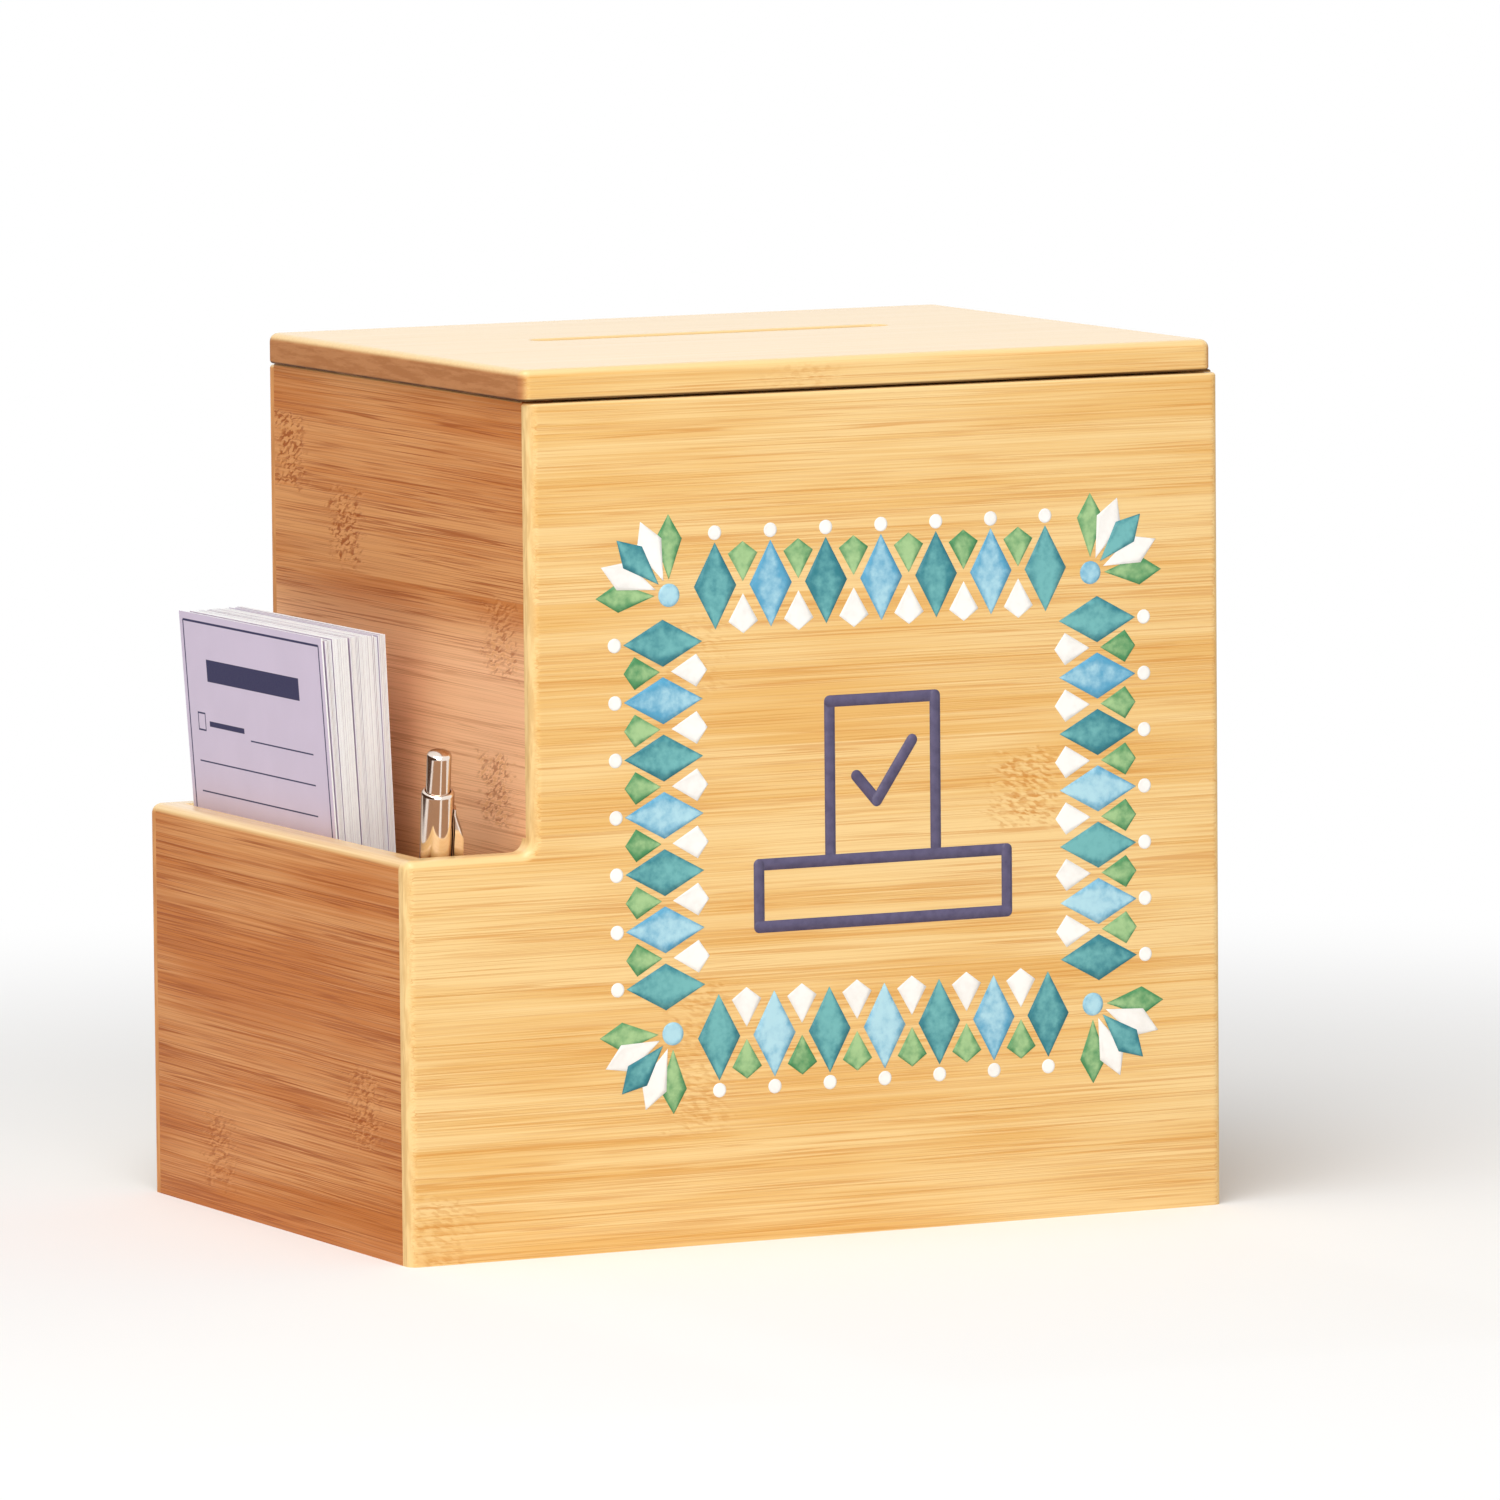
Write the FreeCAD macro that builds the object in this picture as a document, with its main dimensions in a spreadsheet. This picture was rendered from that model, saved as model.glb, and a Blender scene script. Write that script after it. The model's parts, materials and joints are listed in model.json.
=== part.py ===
import FreeCAD
import Part
import Sketcher
import math
import os
from types import SimpleNamespace

# Ballot box of bamboo boards: a tall chamber with a loose slotted lid, and a low open pocket on its
# left side for cards and a click pen.
# Frame: +X right, +Y back, +Z up, origin at the middle of the footprint on the table.
# Sketches of the box are drawn from its front left bottom corner and placed from there.

SIZES = {
    # Box
    "box_width": (262, "outer width, pocket and chamber"),
    "box_depth": (182, "outer depth"),
    "body_height": (245, "top of the chamber walls"),
    "pocket_height": (116, "top of the pocket rim"),
    "pocket_width": (40, "left face of the pocket to left face of the chamber"),
    "wall": (10, "thickness of the wall boards"),
    "joint_lip": (5, "board left in front of an end wall where it is let in"),
    "edge_round": (3, "outer upright edges and outer rim edge"),
    "rim_round": (2.5, "inner rim edge of the pocket"),
    "notch_round": (4, "inside corner where the rim turns up into the chamber"),
    "top_round": (1, "outer top edge of the chamber walls"),
    "front_drop": (0.7, "front and back boards below the walls that the lid rests on"),
    "floor_rise": (6, "underside of the floor above the table"),
    "floor_thickness": (6, "floor board"),
    "floor_groove": (4, "depth of the groove that holds the floor"),
    "floor_play": (0.2, "play of the floor in its groove"),
    # Lid
    "lid_thickness": (9, "lid board"),
    "lid_setback": (2.5, "lid edge inside the front and back faces when centred"),
    "lid_left_shift": (2, "how far the lid lies to the left within its play"),
    "lid_front_shift": (2, "how far the lid lies to the front within its play"),
    "lid_top_round": (2.5, "upper edge of the lid"),
    "lid_under_round": (1, "lower edge of the lid"),
    "lid_corner_round": (3, "upright corners of the lid"),
    "slot_length": (116, "ballot slot, end to end"),
    "slot_width": (8, "ballot slot"),
    "slot_offset": (17, "slot behind the middle of the lid"),
    "slot_round": (1, "upper edge of the slot"),
    "batten_width": (14, "batten across its length"),
    "batten_height": (8, "batten below the lid"),
    "batten_play": (2.5, "gap from batten to wall when the lid is centred"),
    "batten_round": (1.5, "lower edges of the battens"),
    # Cards
    "card_width": (101.6, "card, along the depth of the pocket"),
    "card_height": (162, "card, up"),
    "card_thickness": (0.5, "front card"),
    "card_back_gap": (0.8, "card edge to the back wall"),
    "card_clearance": (0.02, "front card to the rim, and cards to the floor"),
    "leaf_count": (12, "leaves in the stack, each a few cards"),
    "leaf_thickness": (1.1, "one leaf"),
    "leaf_gap": (0.18, "air between leaves at their feet"),
    "front_lean": (4.0, "degrees that the front card leans to the left"),
    "rear_lean": (2.4, "degrees that the last leaf leans to the left"),
    # Pen
    "pen_radius": (4.7, "barrel"),
    "pen_lean": (20, "degrees that the pen leans to the front"),
    "pen_left_lean": (7, "degrees that the pen leans to the left"),
    "pen_rim_gap": (0.15, "barrel to the front rim"),
    "pen_left_gap": (1.7, "barrel to the pocket end wall at the rim"),
    "pen_stand_gap": (2.2, "nose above the floor, so that the tip can come out"),
    "tube_wall": (0.5, "sheet of the barrel tubes"),
    "nose_length": (18, "nose cone"),
    "nose_end_radius": (1.9, "nose cone at its mouth"),
    "nose_joint_radius": (4.0, "nose cone where it meets the lower barrel"),
    "mouth_radius": (1.3, "hole that the tip comes out of"),
    "mouth_length": (6, "length of that hole"),
    "spring_bore": (2.5, "radius of the spring's chamber"),
    "nose_spigot": (5, "length of the nose cone's spigot"),
    "lower_length": (46, "lower barrel that shows"),
    "ring_height": (3, "trim ring"),
    "ring_swell": (0.1, "trim ring beyond the barrel"),
    "barrel_spigot": (8, "lower barrel inside the upper one"),
    "upper_length": (62.5, "upper barrel"),
    "lip_height": (1.2, "turned-in lip at the top of the upper barrel"),
    "lip_bevel": (0.6, "outer edge of the lip"),
    "button_radius": (3.5, "push button"),
    "button_play": (0.1, "button to the lip around it, and its collar to the barrel"),
    "button_reveal": (12.4, "button above the lip"),
    "button_chamfer": (1.0, "bevel round the button's top"),
    "collar_height": (3.5, "collar that keeps the button in"),
    "plunger_length": (9, "button below its collar"),
    "cam_height": (9, "click cam"),
    "cam_radius": (3.5, "click cam"),
    "cam_tooth": (1.6, "depth of a notch between the cam's teeth"),
    "refill_radius": (1.5, "ink tube"),
    "refill_ear": (2.2, "radius of the collar that the spring pushes on"),
    "tip_inset": (2.4, "tip inside the nose at rest"),
    "tip_radius": (1.0, "shank of the tip"),
    "tip_length": (11, "tip with its shank"),
    "tip_taper": (2.6, "tapered end of the tip"),
    "tip_point": (0.35, "radius of the tip's end"),
    "tip_flange": (2, "length of the tip pushed into the ink tube's end"),
    "spring_wire": (0.2, "radius of the spring wire"),
    "spring_turns": (6, "turns of the spring"),
    "spring_flats": (6, "flats that the round of the spring wire is drawn with"),
    "spring_length": (17, "spring at rest"),
    "fit_gap": (0.05, "gap of pieces pushed into one another"),
    "clip_width": (3.6, "clip strip"),
    "clip_thickness": (0.7, "clip strip"),
    "clip_drop": (5.5, "lip to the clip's root"),
    "clip_slope": (10.5, "length over which the clip leaves the barrel"),
    "clip_standoff": (2.4, "clip's inner face from the barrel"),
    "clip_length": (38, "clip from root to end"),
    "clip_turn": (20, "degrees that the clip is turned from the right to the front"),
}


class Formula:
    """A number together with the sheet expression that yields it."""

    def __init__(self, value, text):
        self.value = value
        self.text = text

    def joined(self, other, sign, value):
        return Formula(value, f"({self.text} {sign} {other.text})")

    def __add__(self, other):
        other = formula(other)
        return self.joined(other, "+", self.value + other.value)

    def __sub__(self, other):
        other = formula(other)
        return self.joined(other, "-", self.value - other.value)

    def __mul__(self, other):
        other = formula(other)
        return self.joined(other, "*", self.value * other.value)

    def __truediv__(self, other):
        other = formula(other)
        return self.joined(other, "/", self.value / other.value)

    def __neg__(self):
        return Formula(-self.value, f"(-1 * {self.text})")


def formula(term):
    """Lets a plain number stand in an expression."""
    if isinstance(term, Formula):
        return term
    return Formula(float(term), repr(float(term)))


def cosine(angle):
    return Formula(math.cos(math.radians(angle.value)), f"cos({angle.text})")


def sine(angle):
    return Formula(math.sin(math.radians(angle.value)), f"sin({angle.text})")


def tangent(angle):
    return sine(angle) / cosine(angle)


def fill_sheet(sheet):
    """Writes every size with its alias and note, and returns the sizes by name."""
    for row, (alias, (value, note)) in enumerate(SIZES.items(), start=1):
        sheet.set(f"A{row}", note)
        sheet.set(f"B{row}", str(value))
        sheet.setAlias(f"B{row}", alias)
    doc.recompute()
    return SimpleNamespace(**{alias: Formula(float(sheet.get(alias)), f"sizes.{alias}") for alias in SIZES})


doc = FreeCAD.newDocument("ballot_box")
s = fill_sheet(doc.addObject("Spreadsheet::Sheet", "sizes"))
zero = formula(0)
TOLERANCE = 1e-4


# Drawing helpers

def origin_plane(body, role):
    return next(plane for plane in body.Origin.OriginFeatures if plane.Role == role)


def arc_through(start, end, radius):
    """Short arc from start to end, turning left for a positive radius and right for a negative one."""
    chord = end - start
    left = FreeCAD.Vector(-chord.y, chord.x, 0).normalize()
    reach = math.sqrt(max(radius ** 2 - (chord.Length / 2) ** 2, 0))
    centre = (start + end) / 2 + left * math.copysign(reach, radius)
    first = math.atan2(start.y - centre.y, start.x - centre.x)
    last = math.atan2(end.y - centre.y, end.x - centre.x)
    circle = Part.Circle(centre, FreeCAD.Vector(0, 0, 1), abs(radius))
    if radius > 0:
        return Part.ArcOfCircle(circle, first, last)
    return Part.ArcOfCircle(circle, last, first)


def outline(body, name, role, corners, offset=zero):
    """Closed sketch through corners (x, y), or (x, y, bend) where an arc of that radius leads to the next."""
    sketch = body.newObject("Sketcher::SketchObject", name)
    sketch.AttachmentSupport = (origin_plane(body, role), [""])
    sketch.MapMode = "FlatFace"
    sketch.setExpression("AttachmentOffset.Base.z", offset.text)
    corners = [tuple(formula(term) for term in corner) for corner in corners]
    points = [FreeCAD.Vector(corner[0].value, corner[1].value, 0) for corner in corners]
    count = len(points)
    ends = []
    for i, corner in enumerate(corners):
        start, end = points[i], points[(i + 1) % count]
        if len(corner) == 2:
            sketch.addGeometry(Part.LineSegment(start, end), False)
        else:
            sketch.addGeometry(arc_through(start, end, corner[2].value), False)
        turns_right = len(corner) == 3 and corner[2].value < 0
        ends.append((2, 1) if turns_right else (1, 2))
    for i in range(count):
        follower = (i + 1) % count
        sketch.addConstraint(Sketcher.Constraint("Coincident", i, ends[i][1], follower, ends[follower][0]))
    for i, corner in enumerate(corners):
        for kind, measure in (("DistanceX", corner[0]), ("DistanceY", corner[1])):
            index = sketch.addConstraint(Sketcher.Constraint(kind, -1, 1, i, ends[i][0], measure.value))
            sketch.setExpression(f"Constraints[{index}]", measure.text)
        if len(corner) == 3:
            bend = corner[2] if corner[2].value > 0 else -corner[2]
            index = sketch.addConstraint(Sketcher.Constraint("Radius", i, bend.value))
            sketch.setExpression(f"Constraints[{index}]", bend.text)
    return sketch


def rectangle(left, right, low, high):
    return [(left, low), (right, low), (right, high), (left, high)]


def new_body(name):
    body = doc.addObject("PartDesign::Body", name)
    body.Label = name
    return body


def pad(body, sketch, length, backwards=False, both_ways=False):
    feature = body.newObject("PartDesign::Pad", sketch.Name + "_pad")
    feature.Profile = sketch
    feature.setExpression("Length", length.text)
    feature.Reversed = backwards
    feature.Midplane = both_ways
    doc.recompute()
    return feature


def pocket(body, sketch, depth, backwards=False, both_ways=False):
    """Cuts a sketch into the body and makes sure that it took something away."""
    before = body.Shape.Volume
    feature = body.newObject("PartDesign::Pocket", sketch.Name + "_pocket")
    feature.Profile = sketch
    feature.setExpression("Length", depth.text)
    feature.Reversed = backwards
    feature.Midplane = both_ways
    doc.recompute()
    if body.Shape.Volume > before - TOLERANCE:
        raise RuntimeError(f"{feature.Name} cuts nothing")
    return feature


def revolve(body, sketch):
    feature = body.newObject("PartDesign::Revolution", sketch.Name + "_turned")
    feature.Profile = sketch
    feature.ReferenceAxis = (sketch, ["V_Axis"])
    feature.Angle = 360
    doc.recompute()
    return feature


def round_edges(body, name, radius, wanted, kind="PartDesign::Fillet"):
    """Rounds (or bevels) the edges of the body's tip whose sample points all satisfy wanted."""
    base = body.Tip
    names = []
    for number, edge in enumerate(base.Shape.Edges, start=1):
        samples = [edge.valueAt(edge.FirstParameter + share * (edge.LastParameter - edge.FirstParameter))
                   for share in (0.0, 0.5, 1.0)]
        if all(wanted(point) for point in samples):
            names.append(f"Edge{number}")
    if not names:
        raise RuntimeError(f"{name} finds no edge")
    feature = body.newObject(kind, name)
    feature.Base = (base, names)
    feature.setExpression("Radius" if kind.endswith("Fillet") else "Size", radius.text)
    doc.recompute()
    return feature


def at(value, target):
    return abs(value - target.value) < TOLERANCE


def place(item, x, y, z):
    for axis, measure in zip("xyz", (x, y, z)):
        item.setExpression(f"Placement.Base.{axis}", formula(measure).text)


def place_in_box(item):
    """Sets an item drawn from the front left bottom corner where the box stands."""
    place(item, -s.box_width / 2, -s.box_depth / 2, zero)


# Heights and faces that several pieces share, measured from the front left bottom corner

floor_top = s.floor_rise + s.floor_thickness
board_front = s.joint_lip
board_back = s.box_depth - s.joint_lip
board_run = board_back - board_front
chamber_left = s.pocket_width + s.wall
chamber_right = s.box_width - s.wall
inner_front = s.wall
inner_back = s.box_depth - s.wall


# Pocket rim: the routed rounding that runs on across front, end and back boards

def rim_router():
    """The wood that the router takes off the inner rim, as the overlap of two moulded bars."""
    low = s.pocket_height - s.rim_round
    high = s.pocket_height + s.notch_round + s.rim_round
    rim_left = s.wall - s.rim_round
    rim_back = inner_back + s.rim_round
    along = new_body("rim_bar_along")
    profile = outline(along, "rim_end_profile", "XZ_Plane", [
        (rim_left, s.pocket_height, -s.rim_round),
        (s.wall, low),
        (s.pocket_width, low),
        (s.pocket_width, high),
        (rim_left, high),
    ])
    pad(along, profile, s.box_depth, backwards=True)
    across = new_body("rim_bar_across")
    profile = outline(across, "rim_side_profile", "YZ_Plane", [
        (rim_left, s.pocket_height, -s.rim_round),
        (inner_front, low),
        (inner_back, low, -s.rim_round),
        (rim_back, s.pocket_height),
        (rim_back, high),
        (rim_left, high),
    ])
    pad(across, profile, s.box_width)
    place_in_box(along)
    place_in_box(across)
    router = doc.addObject("Part::Common", "rim_router")
    router.Base = along
    router.Tool = across
    doc.recompute()
    return router


def routed(blank, router, name):
    """A board with the rim rounding taken off it."""
    board = doc.addObject("Part::Cut", name)
    board.Base = blank
    board.Tool = router
    board.Label = name
    doc.recompute()
    return board


# Box boards

def front_board(router):
    """Stepped front: rabbets for the end walls, a dado for the divider and a groove for the floor."""
    body = new_body("front_blank")
    place_in_box(body)
    top = s.body_height - s.front_drop
    step = outline(body, "front_step", "XZ_Plane", [
        (zero, zero),
        (s.box_width, zero),
        (s.box_width, top),
        (s.pocket_width, top),
        (s.pocket_width, s.pocket_height),
        (zero, s.pocket_height),
    ])
    pad(body, step, s.wall, backwards=True)
    round_edges(body, "front_notch", s.notch_round,
                lambda p: at(p.x, s.pocket_width) and at(p.z, s.pocket_height))
    let_in = s.wall - s.joint_lip
    recesses = [
        ("front_left_rabbet", rectangle(zero, s.wall, zero, s.pocket_height), let_in),
        ("front_right_rabbet", rectangle(chamber_right, s.box_width, zero, top), let_in),
        ("front_divider_dado", rectangle(s.pocket_width, chamber_left, floor_top, top), let_in),
        ("front_floor_groove", rectangle(s.wall, chamber_right, s.floor_rise, floor_top), s.floor_groove),
    ]
    for name, corners, depth in recesses:
        sketch = outline(body, name, "XZ_Plane", corners, offset=-s.wall)
        pocket(body, sketch, depth, backwards=True)

    def outer_edge(p):
        """Front face edges other than top and bottom, and the end of the rim at the left."""
        on_front = at(p.y, zero)
        on_rim_end = at(p.x, zero) and at(p.z, s.pocket_height) and p.y < s.joint_lip.value + TOLERANCE
        return on_front or on_rim_end

    def upright_or_rim(p):
        """Leaves out points on the bottom and top edges between their corners."""
        inside_bottom = at(p.z, zero) and TOLERANCE < p.x < s.box_width.value - TOLERANCE
        inside_top = at(p.z, top) and s.pocket_width.value + TOLERANCE < p.x < s.box_width.value - TOLERANCE
        return not (inside_bottom or inside_top)

    round_edges(body, "front_edges", s.edge_round, lambda p: outer_edge(p) and upright_or_rim(p))
    round_edges(body, "front_top", s.top_round,
                lambda p: at(p.z, top) and p.y < s.edge_round.value + TOLERANCE)
    return routed(body, router, "front_panel")


def back_board(front):
    board = doc.addObject("Part::Mirroring", "back_panel")
    board.Label = "back_panel"
    board.Source = front
    board.Base = FreeCAD.Vector(0, 0, 0)
    board.Normal = FreeCAD.Vector(0, 1, 0)
    doc.recompute()
    return board


def wall_board(name, left, low, high):
    """A wall that runs from front to back between the lips of the front and back boards."""
    body = new_body(name)
    place_in_box(body)
    footprint = outline(body, f"{name}_footprint", "XY_Plane",
                        rectangle(left, left + s.wall, board_front, board_back), offset=low)
    pad(body, footprint, high - low)
    return body


def floor_slot(body, name, left):
    sketch = outline(body, name, "XZ_Plane",
                     rectangle(left, left + s.floor_groove, s.floor_rise, floor_top), offset=-board_front)
    pocket(body, sketch, board_run)


def right_board():
    body = wall_board("right_panel", chamber_right, zero, s.body_height)
    floor_slot(body, "right_floor_groove", chamber_right)
    round_edges(body, "right_top", s.top_round,
                lambda p: at(p.x, s.box_width) and at(p.z, s.body_height))
    return body


def pocket_end_board(router):
    body = wall_board("pocket_end_blank", zero, zero, s.pocket_height)
    floor_slot(body, "pocket_floor_groove", s.wall - s.floor_groove)
    round_edges(body, "pocket_rim_outer", s.edge_round,
                lambda p: at(p.x, zero) and at(p.z, s.pocket_height))
    return routed(body, router, "pocket_end_panel")


def divider_board():
    body = wall_board("divider_panel", s.pocket_width, floor_top, s.body_height)
    round_edges(body, "divider_top", s.top_round,
                lambda p: at(p.x, s.pocket_width) and at(p.z, s.body_height))
    return body


def floor_board():
    body = new_body("floor_panel")
    place_in_box(body)
    reach = s.floor_groove - s.floor_play
    corners = rectangle(s.wall - reach, chamber_right + reach, inner_front - reach, inner_back + reach)
    sketch = outline(body, "floor_outline", "XY_Plane", corners, offset=s.floor_rise)
    pad(body, sketch, s.floor_thickness)
    return body


# Lid, drawn about its own middle with its underside at zero

def place_lid(body):
    place(body, s.pocket_width / 2 - s.lid_left_shift, -s.lid_front_shift, s.body_height)


def lid_board():
    body = new_body("lid_board")
    place_lid(body)
    half_width = (s.box_width - s.pocket_width) / 2
    half_depth = s.box_depth / 2 - s.lid_setback
    sketch = outline(body, "lid_outline", "XY_Plane",
                     rectangle(-half_width, half_width, -half_depth, half_depth))
    pad(body, sketch, s.lid_thickness)
    round_edges(body, "lid_corners", s.lid_corner_round,
                lambda p: at(abs(p.x), half_width) and at(abs(p.y), half_depth))
    slot_end = (s.slot_length - s.slot_width) / 2
    slot_front = s.slot_offset - s.slot_width / 2
    slot_back = s.slot_offset + s.slot_width / 2
    turn = s.slot_width / 2
    slot = outline(body, "lid_slot", "XY_Plane", [
        (-slot_end, slot_front),
        (slot_end, slot_front, turn),
        (slot_end + turn, s.slot_offset, turn),
        (slot_end, slot_back),
        (-slot_end, slot_back, turn),
        (-slot_end - turn, s.slot_offset, turn),
    ])
    pocket(body, slot, s.lid_thickness, backwards=True)

    def at_slot(p):
        across = abs(p.y - s.slot_offset.value) < s.slot_width.value / 2 + TOLERANCE
        return across and abs(p.x) < s.slot_length.value / 2 + TOLERANCE

    round_edges(body, "lid_under_edge", s.lid_under_round, lambda p: at(p.z, zero) and not at_slot(p))
    round_edges(body, "lid_top_edge", s.lid_top_round, lambda p: at(p.z, s.lid_thickness) and not at_slot(p))
    round_edges(body, "slot_edge", s.slot_round, lambda p: at(p.z, s.lid_thickness) and at_slot(p))
    return body


def lid_batten(name, side):
    """Batten along the depth; its outer face and ends keep the lid on the chamber."""
    body = new_body(name)
    place_lid(body)
    outer = (chamber_right - chamber_left) / 2 - s.batten_play
    inner = outer - s.batten_width
    half_run = (inner_back - inner_front) / 2 - s.batten_play
    across = (inner, outer) if side > 0 else (-outer, -inner)
    sketch = outline(body, f"{name}_outline", "XY_Plane", rectangle(*across, -half_run, half_run))
    pad(body, sketch, s.batten_height, backwards=True)
    round_edges(body, f"{name}_edges", s.batten_round, lambda p: at(p.z, -s.batten_height))
    return body


# Cards: each stands on the floor and leans to the left on the pocket end wall

def card_foot():
    """Where the front face of the front card meets the floor, from the left face of the pocket."""
    rise = s.pocket_height - s.rim_round - floor_top - s.card_clearance
    return (s.wall - s.rim_round + (s.rim_round + s.card_clearance) / cosine(s.front_lean)
            + rise * tangent(s.front_lean))


def card(name, left, thickness, lean):
    """A leaf whose lower left edge stands at left."""
    leaf = doc.addObject("Part::Box", name)
    leaf.Label = name
    leaf.setExpression("Length", thickness.text)
    leaf.setExpression("Width", s.card_width.text)
    leaf.setExpression("Height", s.card_height.text)
    leaf.Placement = FreeCAD.Placement(FreeCAD.Vector(0, 0, 0), FreeCAD.Rotation(FreeCAD.Vector(0, -1, 0), 1))
    leaf.setExpression("Placement.Rotation.Angle", lean.text)
    place(leaf, left - s.box_width / 2, inner_back - s.card_back_gap - s.card_width - s.box_depth / 2,
          floor_top + s.card_clearance)
    return leaf


def card_stack(first):
    """Leaves that fan out a little towards their tops."""
    leaves = []
    count = int(round(s.leaf_count.value))
    spread = (s.front_lean - s.rear_lean) / s.leaf_count
    pitch = s.leaf_thickness + s.leaf_gap
    for number in range(count):
        left = first + pitch * number
        lean = s.front_lean - spread * (number + 1)
        leaves.append(card(f"leaf_{number + 1}", left, s.leaf_thickness, lean))
    stack = doc.addObject("Part::Compound", "card_stack")
    stack.Label = "card_stack"
    stack.Links = leaves
    doc.recompute()
    return stack


# Pen, drawn upright with its nose at zero and turned to its lean when placed

lower_base = s.nose_length
ring_base = lower_base + s.lower_length
upper_base = ring_base + s.ring_height
upper_top = upper_base + s.upper_length
tube_bore = s.pen_radius - s.tube_wall
lip_hole = s.button_radius + s.button_play
collar_top = upper_top - s.lip_height
plunger_base = collar_top - s.collar_height - s.plunger_length
cam_base = plunger_base - s.cam_height
tip_top = s.tip_inset + s.tip_length
spring_base = s.mouth_length + s.spring_wire
refill_collar = spring_base + s.spring_length + s.spring_wire


def pen_place(item, turn=zero):
    """Leans the pen on the front rim, clear of the pocket end wall, and turns a piece round its axis."""
    reach = s.rim_round + s.pen_rim_gap + s.pen_radius
    foot_z = floor_top + s.pen_stand_gap
    rise = s.pocket_height - s.rim_round - foot_z
    y = s.wall - s.rim_round + reach / cosine(s.pen_lean) + rise * tangent(s.pen_lean)
    x = s.wall + s.pen_left_gap + s.pen_radius / cosine(s.pen_left_lean) + rise * tangent(s.pen_left_lean)
    ahead = tangent(s.pen_lean).text
    aside = tangent(s.pen_left_lean).text
    lean = f"rotation(vector({ahead}; -{aside}; 0); atan(sqrt({ahead} ^ 2 + {aside} ^ 2)))"
    foot = f"vector({(x - s.box_width / 2).text}; {(y - s.box_depth / 2).text}; {foot_z.text})"
    item.setExpression("Placement", f"placement({foot}; {lean} * rotation(vector(0; 0; 1); {turn.text}))")


def turned_piece(name, corners):
    """A piece turned on a lathe, from its half section (radius, height)."""
    body = new_body(name)
    pen_place(body)
    revolve(body, outline(body, f"{name}_section", "XZ_Plane", corners))
    return body


def nose_cone():
    top = s.nose_length + s.nose_spigot
    spigot = s.nose_joint_radius - s.tube_wall - s.fit_gap
    return turned_piece("pen_nose_cone", [
        (s.mouth_radius, zero),
        (s.nose_end_radius, zero),
        (s.nose_joint_radius, s.nose_length),
        (spigot, s.nose_length),
        (spigot, top),
        (s.spring_bore, top),
        (s.spring_bore, s.mouth_length),
        (s.mouth_radius, s.mouth_length),
    ])


def lower_barrel():
    bore = s.nose_joint_radius - s.tube_wall
    spigot = tube_bore - s.fit_gap
    top = upper_base + s.barrel_spigot
    return turned_piece("pen_lower_barrel", [
        (bore, lower_base),
        (s.nose_joint_radius, lower_base),
        (s.pen_radius, ring_base),
        (spigot, ring_base),
        (spigot, top),
        (bore, top),
    ])


def trim_ring():
    inner = tube_bore
    bulge = s.pen_radius + s.ring_swell
    return turned_piece("pen_trim_ring", [
        (inner, ring_base),
        (s.pen_radius, ring_base),
        (bulge, ring_base + s.ring_swell),
        (bulge, upper_base - s.ring_swell),
        (s.pen_radius, upper_base),
        (inner, upper_base),
    ])


def upper_barrel():
    return turned_piece("pen_upper_barrel", [
        (tube_bore, upper_base),
        (s.pen_radius, upper_base),
        (s.pen_radius, upper_top - s.lip_bevel),
        (s.pen_radius - s.lip_bevel, upper_top),
        (lip_hole, upper_top),
        (lip_hole, upper_top - s.lip_height),
        (tube_bore, upper_top - s.lip_height),
    ])


def push_button():
    collar = tube_bore - s.button_play
    top = upper_top + s.button_reveal
    collar_base = collar_top - s.collar_height
    return turned_piece("pen_button", [
        (zero, plunger_base),
        (s.button_radius - s.button_play, plunger_base),
        (s.button_radius - s.button_play, collar_base),
        (collar, collar_base),
        (collar, collar_top),
        (s.button_radius, collar_top),
        (s.button_radius, top - s.button_chamfer),
        (s.button_radius - s.button_chamfer, top),
        (zero, top),
    ])


def click_cam():
    """Turned cam with four notches between its teeth, and a socket for the refill."""
    socket = s.refill_radius + s.fit_gap
    body = turned_piece("pen_click_cam", [
        (zero, cam_base + s.cam_height / 2),
        (socket, cam_base + s.cam_height / 2),
        (socket, cam_base),
        (s.cam_radius, cam_base),
        (s.cam_radius, plunger_base),
        (zero, plunger_base),
    ])
    notch = outline(body, "cam_notch", "XZ_Plane", [
        (-s.cam_tooth / 2, plunger_base - s.cam_tooth),
        (s.cam_tooth, plunger_base),
        (-s.cam_tooth / 2, plunger_base),
    ])
    cut = pocket(body, notch, s.cam_radius * 3, both_ways=True)
    pattern = body.newObject("PartDesign::PolarPattern", "cam_teeth")
    pattern.Originals = [cut]
    pattern.Axis = (next(axis for axis in body.Origin.OriginFeatures if axis.Role == "Z_Axis"), [""])
    pattern.Angle = 180
    pattern.Occurrences = 2
    body.Tip = pattern
    doc.recompute()
    return body


def refill():
    socket_top = cam_base + s.cam_height / 2
    ear_height = s.refill_radius
    return turned_piece("pen_refill", [
        (zero, tip_top),
        (s.refill_radius, tip_top),
        (s.refill_radius, refill_collar),
        (s.refill_ear, refill_collar),
        (s.refill_ear, refill_collar + ear_height / 2),
        (s.refill_radius, refill_collar + ear_height),
        (s.refill_radius, socket_top),
        (zero, socket_top),
    ])


def refill_tip():
    return turned_piece("pen_refill_tip", [
        (zero, s.tip_inset),
        (s.tip_point, s.tip_inset + s.tip_point / 2),
        (s.tip_radius, s.tip_inset + s.tip_taper),
        (s.tip_radius, tip_top - s.tip_flange),
        (s.refill_radius, tip_top - s.tip_flange),
        (s.refill_radius, tip_top),
        (zero, tip_top),
    ])


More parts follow.
